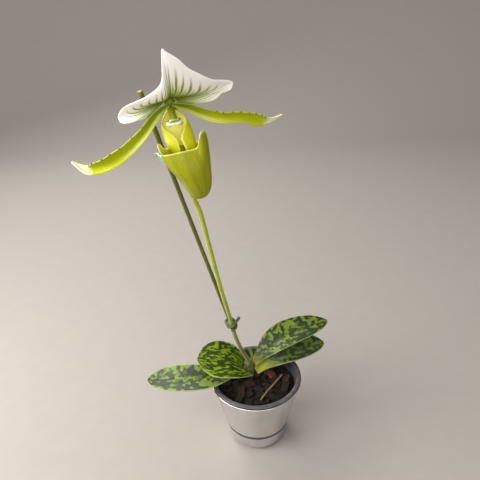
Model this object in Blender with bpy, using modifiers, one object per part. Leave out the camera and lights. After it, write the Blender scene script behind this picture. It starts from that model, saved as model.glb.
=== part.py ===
"""A potted slipper orchid with one green and white flower, tied to a cane in a silver cachepot.

Sizes are in millimetres and are turned to metres where a mesh or curve is made.
The origin is the centre of the pot's foot, +Z is up and -Y is the side that the flower faces.
"""
import math
import random

import bmesh
import bpy
import numpy as np
from mathutils import Matrix, Vector

MM = 0.001
OBJECT_NAME = "potted_slipper_orchid"
GAP = 0.35
MERGE = 0.00001
SLIVER = 0.000005

# Silver cachepot and the nursery pot that stands in it
FOOT_RADIUS = 21.0
FOOT_HEIGHT = 3.0
BODY_LOW_RADIUS = 27.0
BODY_LOW_Z = 6.0
BODY_TOP_RADIUS = 41.0
CACHEPOT_TOP_Z = 69.6
CACHEPOT_WALL = 1.0
BEAD = 1.5
RIM_RADIUS = 42.1
RIM_WIDTH = 4.0
RIM_TOP_Z = 72.0
NURSERY_WALL = 1.1
NURSERY_PLAY = 0.5
NURSERY_BEND_Z = 9.0
FOOT_STEP = 3.0
TURN_STEPS = 44

# Growing medium and its bark
MEDIUM_Z = 63.0
BARK_COUNT = 38
BARK_SEED = 11
BARK_LONG = (5.0, 12.0)
BARK_WIDE = (4.0, 7.0)
BARK_THICK = (2.6, 4.4)
BARK_PINCH = (0.72, 1.0)
BARK_TILT = 0.3
BARK_LIFT = (-0.4, 0.9)
BARK_MARGIN = 7.5
GOLDEN_TURN = 2.39996
STRAW_ROUTE = ((25, 3, 67.4), (17, -7, 66.4), (9, -17, 66.0), (3, -26, 65.6))
STRAW_RADIUS = 0.9

# Crown, which the leaves and the scape grow from
CROWN = Vector((-6.5, 10.0, 0.0))
CROWN_RADIUS = 6.0
CROWN_TOP_RADIUS = 4.2
CROWN_LOW_Z = 52.0
CROWN_TOP_Z = 80.0

# Cane, scape and what holds them together
CANE_LOW = Vector((-6.7, 19.5, 62.0))
CANE_TOP = Vector((-62.2, -60.0, 344.0))
CANE_RADIUS = 1.55
CANE_DEPTH = 20.0
SCAPE_RADIUS = 1.75
OVARY_RADIUS = 2.5
TIE_Z = 135.5
TIE_WIRE = 1.3
TIE_ROOM = 0.4
TIE_RISE = 5.2
TIE_STEPS = 28
TIE_START_DEG = -40.0
TIE_TURN_DEG = 470.0
TIE_STUB = ((1.2, -0.6, 1.6), (2.6, -0.8, 3.6), (3.8, -0.6, 5.6))
CLIP_Z = 301.1
CLIP_HEIGHT = 5.5
CLIP_WALL = 0.9
CLIP_PLAY = 0.2
CLIP_BEND = 0.72
CLIP_WAIST = 2.6
CLIP_TAB = ((-6.4, 2.6), (-4.6, 1.6))
CLIP_STEPS = 32
BRACT_LOW_Z = 308.0
BRACT_HIGH_Z = 336.0

# Flower: centre, the way it faces and its lean, then the thickness of its parts
FLOWER = Vector((-43.3, -78.7, 339.8))
FACING_DEG = 10.0
NOD_DEG = 10.0
LEAN_DEG = 8.0
LEAF_THICKNESS = 1.5
SEPAL_THICKNESS = 0.8
PETAL_THICKNESS = 0.9
LIP_THICKNESS = 0.9

# Colours: linear base colour, roughness and metallic
FINISHES = {
    "silvered_plastic": ((0.62, 0.58, 0.56), 0.22, 1.0),
    "dark_plastic": ((0.045, 0.042, 0.045), 0.45, 0.0),
    "bark_medium": ((0.030, 0.016, 0.009), 0.9, 0.0),
    "dry_straw": ((0.30, 0.19, 0.08), 0.8, 0.0),
    "leaf": ((0.085, 0.17, 0.035), 0.42, 0.0),
    "stem": ((0.20, 0.27, 0.03), 0.5, 0.0),
    "cane": ((0.075, 0.075, 0.012), 0.6, 0.0),
    "tie_plastic": ((0.02, 0.055, 0.02), 0.5, 0.0),
    "clip_plastic": ((0.45, 0.60, 0.40), 0.25, 0.0),
    "dorsal_sepal": ((0.72, 0.70, 0.50), 0.5, 0.0),
    "petal": ((0.36, 0.42, 0.03), 0.45, 0.0),
    "lip": ((0.33, 0.36, 0.015), 0.35, 0.0),
    "column": ((0.30, 0.33, 0.04), 0.5, 0.0),
}


def clear_scene():
    for item in list(bpy.data.objects):
        bpy.data.objects.remove(item, do_unlink=True)


def new_collection(name):
    collection = bpy.data.collections.new(name)
    bpy.context.scene.collection.children.link(collection)
    return collection


def finish_material(name):
    material = bpy.data.materials.get(name)
    if material:
        return material
    colour, roughness, metallic = FINISHES[name]
    material = bpy.data.materials.new(name)
    material.use_nodes = True
    shader = material.node_tree.nodes["Principled BSDF"]
    shader.inputs["Base Color"].default_value = (*colour, 1.0)
    shader.inputs["Roughness"].default_value = roughness
    shader.inputs["Metallic"].default_value = metallic
    return material


def link(name, data, finish, smooth=True):
    """Put a mesh or curve in the part's collection under a plain name."""
    data.name = name
    data.materials.clear()
    data.materials.append(finish_material(finish))
    item = bpy.data.objects.new(name, data)
    PARTS.objects.link(item)
    if smooth and item.type == "MESH":
        data.shade_smooth()
    return item


def baked(item):
    """The item's evaluated mesh as a new mesh with its place applied, and the item gone."""
    bpy.context.view_layer.update()
    graph = bpy.context.evaluated_depsgraph_get()
    mesh = bpy.data.meshes.new_from_object(item.evaluated_get(graph))
    mesh.transform(item.matrix_world)
    shell = bmesh.new()
    shell.from_mesh(mesh)
    bmesh.ops.remove_doubles(shell, verts=shell.verts, dist=MERGE)
    bmesh.ops.dissolve_degenerate(shell, edges=shell.edges, dist=SLIVER)
    shell.to_mesh(mesh)
    shell.free()
    bpy.data.objects.remove(item, do_unlink=True)
    return mesh


def boolean(item, others, operation):
    """Join others to the item, or cut them from it, then remove them."""
    pieces = bpy.data.collections.new("operands")
    bpy.context.scene.collection.children.link(pieces)
    for other in others:
        for holder in list(other.users_collection):
            holder.objects.unlink(other)
        pieces.objects.link(other)
    step = item.modifiers.new(operation.lower(), "BOOLEAN")
    step.operation = operation
    step.operand_type = "COLLECTION"
    step.collection = pieces
    step.solver = "EXACT"
    name = item.name
    finish = item.data.materials[0].name
    mesh = baked(item)
    for other in others:
        bpy.data.objects.remove(other, do_unlink=True)
    bpy.data.collections.remove(pieces)
    return link(name, mesh, finish)


def turned(name, profile, finish):
    """A solid of revolution: its profile (radius, height) runs down the outer side."""
    outline = bmesh.new()
    points = [outline.verts.new((r * MM, 0.0, z * MM)) for r, z in profile]
    for first, second in zip(points, points[1:]):
        outline.edges.new((first, second))
    mesh = bpy.data.meshes.new(name)
    outline.to_mesh(mesh)
    outline.free()
    item = link(name, mesh, finish)
    screw = item.modifiers.new("turn", "SCREW")
    screw.steps = TURN_STEPS
    screw.render_steps = TURN_STEPS
    screw.use_merge_vertices = True
    screw.merge_threshold = MERGE
    screw.use_smooth_shade = True
    return item


def surface(name, place, along, across, thickness, finish, closed=False, bias=0.0):
    """A thin blade: a grid whose points are placed by place(s, t), split and thickened.

    s runs 0 to 1 along the blade and t runs -1 to 1 across it.
    """
    grid = bmesh.new()
    bmesh.ops.create_grid(grid, x_segments=along, y_segments=across, size=0.5)
    for vert in grid.verts:
        vert.co = place(vert.co.x + 0.5, 2.0 * vert.co.y) * MM
    if closed:
        bmesh.ops.remove_doubles(grid, verts=grid.verts, dist=2 * MERGE)
    bmesh.ops.triangulate(grid, faces=grid.faces)
    mesh = bpy.data.meshes.new(name)
    grid.to_mesh(mesh)
    grid.free()
    item = link(name, mesh, finish)
    wall = item.modifiers.new("thickness", "SOLIDIFY")
    wall.thickness = thickness * MM
    wall.offset = bias
    return item


def tube(name, points, radii, finish, sides=2):
    """A bevelled curve through the points, with filled caps and a radius at each point."""
    curve = bpy.data.curves.new(name, "CURVE")
    curve.dimensions = "3D"
    curve.bevel_depth = max(radii) * MM
    curve.bevel_resolution = sides
    curve.use_fill_caps = True
    spline = curve.splines.new("POLY")
    spline.points.add(len(points) - 1)
    for knot, point, radius in zip(spline.points, points, radii):
        knot.co = (*(point * MM), 1.0)
        knot.radius = radius / max(radii)
    return link(name, curve, finish)


def smooth_path(points, count):
    """count points on the smooth curve that passes through the given ones."""
    knots = [points[0] * 2 - points[1], *points, points[-1] * 2 - points[-2]]
    result = []
    for step in range(count):
        position = step / (count - 1) * (len(points) - 1)
        index = min(int(position), len(points) - 2)
        f = position - index
        a, b, c, d = knots[index:index + 4]
        result.append(0.5 * (2 * b + (c - a) * f + (2 * a - 5 * b + 4 * c - d) * f * f
                             + (3 * b - a - 3 * c + d) * f ** 3))
    return result


def smooth_value(stations, s):
    """The value at s of a smooth curve through (place, value) stations."""
    places = [place for place, _ in stations]
    index = min(max(np.searchsorted(places, s) - 1, 0), len(stations) - 2)
    low, high = stations[index], stations[index + 1]
    before = stations[max(index - 1, 0)]
    after = stations[min(index + 2, len(stations) - 1)]
    span = high[0] - low[0]
    f = (s - low[0]) / span
    rise_low = span * (high[1] - before[1]) / max(high[0] - before[0], 1e-6)
    rise_high = span * (after[1] - low[1]) / max(after[0] - low[0], 1e-6)
    return ((2 * f ** 3 - 3 * f * f + 1) * low[1] + (f ** 3 - 2 * f * f + f) * rise_low
            + (3 * f * f - 2 * f ** 3) * high[1] + (f ** 3 - f * f) * rise_high)


def flower_axes():
    """The flower's own right, up and facing directions."""
    a, e, r = (math.radians(v) for v in (FACING_DEG, -NOD_DEG, LEAN_DEG))
    facing = Vector((math.sin(a) * math.cos(e), -math.cos(a) * math.cos(e), math.sin(e)))
    level = Vector((math.cos(a), math.sin(a), 0.0))
    upright = facing.cross(level)
    up = math.cos(r) * upright - math.sin(r) * level
    right = math.cos(r) * level + math.sin(r) * upright
    return right, up, facing


RIGHT, UP, FACING = flower_axes()


def bloom(r, u, f):
    """A point given to the flower's right, up and front, from its centre."""
    return FLOWER + r * RIGHT + u * UP + f * FACING


def body_radius(z):
    """Outer radius of the cachepot's tapered wall at a height."""
    share = (z - BODY_LOW_Z) / (CACHEPOT_TOP_Z - BODY_LOW_Z)
    return BODY_LOW_RADIUS + share * (BODY_TOP_RADIUS - BODY_LOW_RADIUS)


def nursery_radius(z):
    return body_radius(z) - CACHEPOT_WALL - NURSERY_PLAY


def cachepot():
    floor_z = FOOT_HEIGHT + CACHEPOT_WALL
    inner_low = body_radius(BODY_LOW_Z) - CACHEPOT_WALL
    profile = [
        (0.0, floor_z), (inner_low - 2.6, floor_z), (inner_low, BODY_LOW_Z + 0.6),
        (body_radius(CACHEPOT_TOP_Z) - CACHEPOT_WALL, CACHEPOT_TOP_Z),
        (BODY_TOP_RADIUS + BEAD - 0.5, CACHEPOT_TOP_Z),
        (BODY_TOP_RADIUS + BEAD, CACHEPOT_TOP_Z - 0.5),
        (BODY_TOP_RADIUS + BEAD - 0.5, CACHEPOT_TOP_Z - 1.2),
        (body_radius(CACHEPOT_TOP_Z - 1.8), CACHEPOT_TOP_Z - 1.8),
        (BODY_LOW_RADIUS, BODY_LOW_Z), (BODY_LOW_RADIUS - 1.0, BODY_LOW_Z - 2.0),
        (BODY_LOW_RADIUS - 2.8, FOOT_HEIGHT + 0.4), (FOOT_RADIUS + 0.6, FOOT_HEIGHT),
        (FOOT_RADIUS + 0.2, 1.0), (FOOT_RADIUS - 0.6, 0.0), (0.0, 0.0),
    ]
    return turned("cachepot", profile, "silvered_plastic")


def nursery_pot():
    low_z = FOOT_HEIGHT + CACHEPOT_WALL + GAP
    foot = nursery_radius(BODY_LOW_Z + 1.0) - FOOT_STEP
    inner = RIM_RADIUS - RIM_WIDTH
    under_rim = CACHEPOT_TOP_Z + GAP
    profile = [
        (0.0, low_z + NURSERY_WALL), (foot - NURSERY_WALL, low_z + NURSERY_WALL),
        (nursery_radius(NURSERY_BEND_Z) - NURSERY_WALL, NURSERY_BEND_Z),
        (inner - 0.4, RIM_TOP_Z - 1.2), (inner + 0.5, RIM_TOP_Z),
        (RIM_RADIUS - 0.8, RIM_TOP_Z), (RIM_RADIUS, RIM_TOP_Z - 0.7),
        (RIM_RADIUS, under_rim), (nursery_radius(CACHEPOT_TOP_Z), under_rim),
        (nursery_radius(NURSERY_BEND_Z), NURSERY_BEND_Z), (foot, low_z), (0.0, low_z),
    ]
    return turned("nursery_pot", profile, "dark_plastic")


def bark_chip(number, draw):
    """One chip of bark, half sunk in the top of the medium."""
    chip = bmesh.new()
    bmesh.ops.create_cube(chip, size=1.0)
    size = Vector((draw.uniform(*BARK_LONG), draw.uniform(*BARK_WIDE), draw.uniform(*BARK_THICK)))
    for vert in chip.verts:
        pinch = draw.uniform(*BARK_PINCH)
        vert.co = Vector((vert.co.x * size.x * pinch, vert.co.y * size.y * pinch, vert.co.z * size.z))
    reach = math.sqrt(draw.uniform(0.0, 1.0)) * (nursery_radius(MEDIUM_Z) - NURSERY_WALL - BARK_MARGIN)
    turn = number * GOLDEN_TURN
    place = Vector((reach * math.cos(turn), reach * math.sin(turn), MEDIUM_Z + draw.uniform(*BARK_LIFT)))
    tip = Matrix.Rotation(draw.uniform(-BARK_TILT, BARK_TILT), 4, "X")
    tilt = tip @ Matrix.Rotation(draw.uniform(-BARK_TILT, BARK_TILT), 4, "Y")
    swing = Matrix.Rotation(draw.uniform(0.0, math.pi), 4, "Z")
    bmesh.ops.transform(chip, matrix=Matrix.Translation(place) @ swing @ tilt, verts=chip.verts)
    bmesh.ops.scale(chip, vec=(MM, MM, MM), verts=chip.verts)
    mesh = bpy.data.meshes.new(f"chip_{number}")
    chip.to_mesh(mesh)
    chip.free()
    return link(f"chip_{number}", mesh, "bark_medium", smooth=False)


def rod(name, low, high, radius, finish, sides=12):
    """A plain round rod between two points."""
    shaft = bmesh.new()
    axis = high - low
    bmesh.ops.create_cone(shaft, cap_ends=True, segments=sides, radius1=radius * MM,
                          radius2=radius * MM, depth=axis.length * MM)
    turn = axis.to_track_quat("Z", "Y").to_matrix().to_4x4()
    middle = Matrix.Translation((low + high) * 0.5 * MM)
    bmesh.ops.transform(shaft, matrix=middle @ turn, verts=shaft.verts)
    mesh = bpy.data.meshes.new(name)
    shaft.to_mesh(mesh)
    shaft.free()
    return link(name, mesh, finish)


def straw_tube(name, radius):
    route = smooth_path([Vector(p) for p in STRAW_ROUTE], 10)
    return tube(name, route, [radius] * len(route), "dry_straw", 1)


def dry_stick():
    """A dry straw of old root lying in the bark."""
    return straw_tube("dry_stick", STRAW_RADIUS)


def growing_medium():
    low_z = FOOT_HEIGHT + CACHEPOT_WALL + NURSERY_WALL + 2 * GAP
    inset = NURSERY_WALL + GAP
    profile = [
        (0.0, MEDIUM_Z), (nursery_radius(MEDIUM_Z) - inset - 0.5, MEDIUM_Z),
        (nursery_radius(NURSERY_BEND_Z) - inset, NURSERY_BEND_Z + 0.4),
        (nursery_radius(BODY_LOW_Z + 1.0) - FOOT_STEP - inset, low_z + 0.1), (0.0, low_z),
    ]
    medium = turned("growing_medium", profile, "bark_medium")
    draw = random.Random(BARK_SEED)
    medium = boolean(medium, [bark_chip(i, draw) for i in range(BARK_COUNT)], "UNION")
    crown_hole = rod("crown_hole", CROWN + Vector((0, 0, CROWN_LOW_Z - GAP)),
                     CROWN + Vector((0, 0, CROWN_TOP_Z)), CROWN_RADIUS + GAP, "bark_medium", 16)
    slope = (CANE_TOP - CANE_LOW).normalized()
    cane_hole = rod("cane_hole", CANE_LOW - slope * (CANE_DEPTH + GAP), CANE_LOW + slope * 20.0,
                    CANE_RADIUS + GAP, "bark_medium")
    groove = link("groove", baked(straw_tube("straw_groove", STRAW_RADIUS + GAP)), "bark_medium")
    return boolean(medium, [crown_hole, cane_hole, groove], "DIFFERENCE")


def crown():
    """The short stem: a blunt cone that the leaf bases clasp."""
    body = bmesh.new()
    depth = CROWN_TOP_Z - CROWN_LOW_Z
    bmesh.ops.create_cone(body, cap_ends=True, segments=14, radius1=CROWN_RADIUS * MM,
                          radius2=CROWN_TOP_RADIUS * MM, depth=depth * MM)
    middle = CROWN + Vector((0, 0, (CROWN_TOP_Z + CROWN_LOW_Z) / 2))
    bmesh.ops.translate(body, vec=middle * MM, verts=body.verts)
    mesh = bpy.data.meshes.new("crown")
    body.to_mesh(mesh)
    body.free()
    return link("crown", mesh, "stem")


LEAF_OUTLINE = [(0.0, 0.26), (0.12, 0.42), (0.3, 0.8), (0.5, 1.0), (0.7, 0.96), (0.86, 0.7),
                (0.95, 0.38), (1.0, 0.07)]
BROAD_OUTLINE = [(0.0, 0.34), (0.1, 0.66), (0.25, 0.93), (0.45, 1.0), (0.68, 0.93), (0.86, 0.66),
                 (0.95, 0.36), (1.0, 0.07)]


def leaf(name, midrib, half_width, far_edge_up, fold, along=16, across=8, outline=LEAF_OUTLINE,
         clasp=0.0):
    """A strap leaf folded along its midrib, with its far edge tipped up.

    clasp is how far the near side of its base reaches round the front of the crown.
    """
    path = smooth_path([Vector(p) for p in midrib], along + 1)

    def place(s, t):
        index = round(s * along)
        ahead = path[min(index + 1, along)] - path[max(index - 1, 0)]
        ahead.normalize()
        far = Vector((-ahead.y, ahead.x, 0.0)).normalized()
        if far.y < 0:
            far = -far
        normal = ahead.cross(far)
        if normal.z < 0:
            normal = -normal
        tip = math.radians(far_edge_up)
        side = math.cos(tip) * far + math.sin(tip) * normal
        face = math.cos(tip) * normal - math.sin(tip) * far
        reach = half_width * smooth_value(outline, s)
        bend = math.radians(fold)
        lift = math.sin(bend) * abs(t) ** 1.3 + 0.035 * math.sin(9.0 * s + 2.0 * t) * t * t
        near = max(-t, 0.0)
        wrap = Vector((near ** 1.5, -0.12 * math.sin(math.pi * near), -0.33 * near)) * clasp * (1 - s) ** 6
        return path[index] + reach * (math.cos(bend) * t * side + lift * face) + wrap

    return surface(name, place, along, across, LEAF_THICKNESS, "leaf")


SHEATH_OUTLINE = [(0.0, 0.7), (0.4, 1.0), (0.75, 0.7), (1.0, 0.12)]

# Midrib, half width, how far the far edge is tipped up and how far the blade is folded, in degrees
LEFT_LOW = ([(-13.6, 8.0, 67), (-27, -1, 76.5), (-45, -9.5, 79), (-66, -9.5, 78.5), (-86, -5.0, 75.5),
             (-102.3, 1.2, 71.5)], 13.8, 20.0, 16.0)
LEFT_HIGH = ([(-12.9, 8.0, 74.5), (-21, 4.5, 84), (-31, 0.5, 90), (-42.5, -1.5, 94),
              (-53.2, -3.0, 96)], 18.5, 31.0, 12.0)
RIGHT_HIGH = ([(-1.3, 12.2, 74.5), (9, 16.5, 85), (20, 22, 92), (33, 28, 95.5), (55, 37.0, 97),
               (75, 47, 95)], 14.2, 20.0, 15.0)
RIGHT_LOW = ([(0.6, 9.4, 67), (12, 13, 76), (24, 18, 80), (35, 22.8, 80), (54, 31, 78.5),
              (70.4, 36.5, 76)], 15.5, 16.0, 14.0)
YOUNG = ([(-3.0, 17.2, 67), (-3.2, 19.4, 75), (-4.2, 19.2, 83), (-5.4, 17.0, 91)], 3.0, 0.0, 30.0)
LEFT_HIGH_CLASP = 10.5


def leaves():
    leaf("leaf_left_low", *LEFT_LOW)
    leaf("leaf_left_high", *LEFT_HIGH, outline=BROAD_OUTLINE, clasp=LEFT_HIGH_CLASP)
    leaf("leaf_right_high", *RIGHT_HIGH)
    leaf("leaf_right_low", *RIGHT_LOW)
    leaf("young_leaf", *YOUNG, along=8, across=4, outline=SHEATH_OUTLINE)


def cane():
    slope = (CANE_TOP - CANE_LOW).normalized()
    return rod("cane", CANE_LOW - slope * CANE_DEPTH, CANE_TOP, CANE_RADIUS, "cane")


SCAPE_ROUTE = [
    (-6.9, 9.8, CROWN_TOP_Z + 0.5), (-7.3, 9.2, 83.5), (-9.0, 6.4, 89.5), (-12.2, 3.2, 99),
    (-17.5, -1.7, 120.7), (-20.8, -7.4, 144.1), (-26.2, -20.5, 182.8), (-31.4, -35.4, 228),
    (-35.1, -44.7, 259.1), (-38.9, -49.4, 274), (-42.7, -53.4, 288.1), (-44.9, -58.5, 305),
]
OVARY_ROUTE = [(-0.6, -21, -12.2), (-0.4, -12, -12.4), (-0.2, -5.2, -10.6), (0, -1.6, -6.6),
               (0, -0.7, -3.2)]
SCAPE_SWELL = [(0.0, 1.25), (0.12, 1.05), (0.5, 1.0), (0.72, 1.0), (0.86, 1.38), (0.95, 1.42), (1.0, 1.15)]
SCAPE_POINTS = 46


def scape_path():
    knots = [Vector(p) for p in SCAPE_ROUTE] + [bloom(*p) for p in OVARY_ROUTE]
    return smooth_path(knots, SCAPE_POINTS)


def scape():
    """The flower stem, swelling to the ovary behind the flower."""
    path = scape_path()
    radii = [SCAPE_RADIUS * smooth_value(SCAPE_SWELL, i / (len(path) - 1)) for i in range(len(path))]
    return tube("scape", path, radii, "stem")


def nearest(path, z):
    return min(path, key=lambda point: abs(point.z - z))


BRACT_AWAY = [(0.0, 2.35), (0.6, 3.6), (1.0, 6.2)]
BRACT_REACH_DEG = [(0.0, 150.0), (0.5, 105.0), (1.0, 14.0)]
BRACT_THICKNESS = 0.7


def floral_bract():
    """A short green sheath that clasps the back of the stem under the ovary."""
    along = 8
    line = smooth_path([p for p in scape_path() if BRACT_LOW_Z < p.z < BRACT_HIGH_Z], along + 1)

    def place(s, t):
        angle = t * math.radians(smooth_value(BRACT_REACH_DEG, s))
        back = -FACING * math.cos(angle) + RIGHT * math.sin(angle)
        return line[round(s * along)] + smooth_value(BRACT_AWAY, s) * back

    return surface("floral_bract", place, along, 10, BRACT_THICKNESS, "stem")


def cane_point(z):
    share = (z - CANE_LOW.z) / (CANE_TOP.z - CANE_LOW.z)
    return CANE_LOW.lerp(CANE_TOP, share)


def twist_tie():
    """Wire wound once and a half round the cane and the stem, with a stub left standing."""
    stem = nearest(scape_path(), TIE_Z)
    stick = cane_point(TIE_Z)
    lean = (CANE_TOP - CANE_LOW).normalized()
    across = stem - stick
    across = (across - lean * across.dot(lean)).normalized()
    side = lean.cross(across)
    away = SCAPE_RADIUS + TIE_WIRE + TIE_ROOM
    knots = []
    for step in range(TIE_STEPS + 1):
        share = step / TIE_STEPS
        angle = math.radians(TIE_START_DEG + TIE_TURN_DEG * share)
        hold = stem if math.cos(angle) > 0 else stick
        reach = away * (math.cos(angle) * across + math.sin(angle) * side)
        knots.append(hold + reach + lean * TIE_RISE * (share - 0.5))
    last = knots[-1]
    knots += [last + Vector(move) for move in TIE_STUB]
    return tube("twist_tie", knots, [TIE_WIRE] * len(knots), "tie_plastic")


def stem_clip():
    """A springy strip bent round the cane and the stem, its two ends left as finger tabs."""
    stem = nearest(scape_path(), CLIP_Z)
    stick = cane_point(CLIP_Z)
    lean = (CANE_TOP - CANE_LOW).normalized()
    across = stem - stick
    across -= lean * across.dot(lean)
    length = across.length
    across.normalize()
    front = across.cross(lean).normalized()
    if front.y > 0:
        front = -front
    room = SCAPE_RADIUS + CLIP_WALL / 2 + GAP + CLIP_PLAY
    bend = room * CLIP_BEND
    half = [*CLIP_TAB, (-CLIP_WAIST, room), (length * 0.5, room + CLIP_PLAY), (length, room),
            (length + bend, bend)]
    outline = half + [(length + room, 0.0)] + [(a, -b) for a, b in reversed(half)]
    middle = stick + lean * (stem - stick).dot(lean) / 2
    path = smooth_path([middle + across * a + front * b for a, b in outline], CLIP_STEPS + 1)

    def place(s, t):
        return path[round(s * CLIP_STEPS)] + lean * (t * CLIP_HEIGHT / 2)

    return surface("stem_clip", place, CLIP_STEPS, 1, CLIP_WALL, "clip_plastic")


DORSAL_EDGE = [
    (-3.6, 0.6, -2.6), (-10.2, -2.6, -1.2), (-15.0, -3.9, 3.0), (-19.8, -3.4, 5.5),
    (-24.7, -3.5, 5.5), (-28.4, -2.4, 4.5), (-28.2, 1.6, 4.5), (-24.0, 5.6, 6.0),
    (-18.6, 7.8, 8.0), (-12.8, 9.8, 10.5), (-7.4, 12.8, 13.5), (-3.0, 16.4, 16.0),
    (-0.8, 20.6, 18.0), (0.6, 27.2, 19.5), (2.3, 34.4, 20.0), (4.2, 32.9, 20.0),
    (9.1, 28.0, 19.0), (12.8, 22.5, 17.5), (18.3, 17.3, 15.0), (24.3, 12.2, 12.0),
    (29.6, 9.5, 8.5), (35.0, 6.4, 4.5), (35.2, 4.2, 4.0), (33.2, 1.7, 4.5),
    (28.9, 1.4, 5.0), (23.7, -1.2, 5.5), (14.8, -2.3, 2.0), (8.0, -2.4, -1.2), (3.6, 0.2, -2.6),
]
DORSAL_ACROSS = 44
DORSAL_ALONG = 7
DORSAL_SPREAD_DEG = 72.0
DORSAL_BASE = (3.7, 3.4, -0.6, -2.6)
DORSAL_BEND = Vector((0.66, 0.32, 0.62))
DORSAL_LIFT = Vector((0.0, 0.8, 1.0))
DORSAL_HOOD = 6.5
DORSAL_HEIGHT = 34.0
DORSAL_RIPPLE = 0.35
RIPPLE_COUNT = 25.0


def dorsal_sepal():
    """The broad hooded sepal over the flower, its veins fanning from the base to the edge.

    s runs from the base to the edge along a vein and t from the left corner to the right one.
    """
    rim = smooth_path([Vector(p) for p in DORSAL_EDGE], DORSAL_ACROSS + 1)
    wide, high, low, back = DORSAL_BASE

    def place(s, t):
        tip = rim[round((t + 1) / 2 * DORSAL_ACROSS)]
        spread = math.radians(t * DORSAL_SPREAD_DEG)
        base = Vector((wide * math.sin(spread), high * math.cos(spread) + low, back))
        hood = max(0.0, tip.y) / DORSAL_HEIGHT
        bend = DORSAL_BEND * tip + DORSAL_LIFT + Vector((0.0, 0.0, DORSAL_HOOD * hood))
        point = (1 - s) ** 2 * base + 2 * s * (1 - s) * bend + s * s * tip
        ripple = DORSAL_RIPPLE * math.sin(t * RIPPLE_COUNT) * s ** 3 * (1 - hood)
        return bloom(point.x, point.y, point.z + ripple)

    return surface("dorsal_sepal", place, DORSAL_ALONG, DORSAL_ACROSS, SEPAL_THICKNESS, "dorsal_sepal")


SYNSEPAL_ROUTE = ((0.0, -4.6, -5.2), (-0.8, -14, -6.6), (0.6, -27, -5.4), (2.4, -39, -2.0))
SYNSEPAL_WIDTH = [(0.0, 2.4), (0.25, 6.6), (0.5, 7.8), (0.75, 6.6), (0.92, 3.2), (1.0, 0.7)]
SYNSEPAL_BOW = 0.12


def synsepal():
    """The joined lower sepals, which hang behind the lip."""
    along = 12
    line = smooth_path([Vector(p) for p in SYNSEPAL_ROUTE], along + 1)

    def place(s, t):
        centre = line[round(s * along)]
        reach = smooth_value(SYNSEPAL_WIDTH, s)
        return bloom(centre.x + reach * t, centre.y, centre.z + SYNSEPAL_BOW * reach * t * t)

    return surface("synsepal", place, along, 8, SEPAL_THICKNESS, "petal")


# Each petal's line from its base, its half widths and how deep its gutter is
LEFT_PETAL = (
    [(-0.95, 0.4, 1.8), (-8.6, -3.6, 1.8), (-19.8, -12.4, 3.0), (-30.5, -18.9, 3.0),
     (-40.2, -23.6, 2.0), (-48.8, -26.8, 0.6), (-55.6, -27.6, -0.6), (-62.2, -21.8, -3.0)],
    [(0.0, 0.95), (0.15, 2.3), (0.35, 3.4), (0.55, 4.2), (0.72, 3.6), (0.88, 2.3), (1.0, 0.6)],
    [(0.0, 0.6), (0.3, 3.0), (0.6, 3.4), (0.85, 1.0), (1.0, 0.1)])
RIGHT_PETAL = (
    [(0.95, 0.4, 1.8), (9.6, -3.6, 1.6), (18.4, -8.6, 3.0), (26.8, -12.2, 3.0),
     (37.2, -14.6, 2.0), (46.3, -19.2, 0.6), (54.2, -22.0, -0.8), (62.4, -21.9, -3.0)],
    [(0.0, 0.95), (0.15, 2.3), (0.35, 3.2), (0.55, 3.0), (0.74, 3.8), (0.88, 2.0), (1.0, 0.6)],
    [(0.0, 0.6), (0.3, 3.0), (0.6, 3.2), (0.85, 1.0), (1.0, 0.1)])
PETAL_TWIST_DEG = 62.0
PETAL_TWIST = [(0.0, 0.0), (0.68, 0.05), (0.85, 0.6), (1.0, 1.0)]
PETAL_WAVE = 0.10
WAVE_COUNT = 34.0
PETAL_STEPS = 26


def petal(name, route, widths, depths, twist):
    """A long gutter-shaped petal; its section turns by twist degrees at the tip."""
    line = smooth_path([Vector(p) for p in route], PETAL_STEPS + 1)
    front = Vector((0, 0, 1))

    def place(s, t):
        index = round(s * PETAL_STEPS)
        ahead = (line[min(index + 1, PETAL_STEPS)] - line[max(index - 1, 0)]).normalized()
        top = front.cross(ahead).normalized()
        if top.y < 0:
            top = -top
        turn = math.radians(twist * smooth_value(PETAL_TWIST, s))
        reach = smooth_value(widths, s)
        wave = PETAL_WAVE * math.sin(WAVE_COUNT * s) * max(t, 0.0)
        depth = smooth_value(depths, s) * t * t + wave * reach
        flat = top * math.cos(turn) + front * math.sin(turn)
        deep = front * math.cos(turn) - top * math.sin(turn)
        point = line[index] + reach * t * flat + depth * deep
        return bloom(point.x, point.y, point.z)

    return surface(name, place, PETAL_STEPS, 6, PETAL_THICKNESS, "petal")


def petals():
    petal("petal_left", *LEFT_PETAL, -PETAL_TWIST_DEG)
    petal("petal_right", *RIGHT_PETAL, PETAL_TWIST_DEG)


POUCH_WIDTH = [(0.0, 14.0), (0.2, 12.4), (0.45, 9.7), (0.7, 7.5), (0.88, 5.2), (0.97, 2.3), (1.0, 0.0)]
POUCH_DEPTH = [(0.0, 5.2), (0.12, 8.0), (0.3, 10.0), (0.5, 9.4), (0.7, 7.6), (0.88, 5.0), (0.97, 2.2),
               (1.0, 0.0)]
POUCH_DROP = [(0.0, 0.0), (0.2, 6.4), (0.45, 14.4), (0.7, 22.0), (0.88, 27.2), (0.97, 29.4), (1.0, 29.8)]
POUCH_DRIFT = [(0.0, 1.5), (0.25, 2.5), (0.5, 4.0), (0.75, 4.7), (1.0, 4.6)]
POUCH_MOUTH = (-20.2, 15.2)
POUCH_SWING = 4.6
EAR_CURL = 0.13


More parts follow.
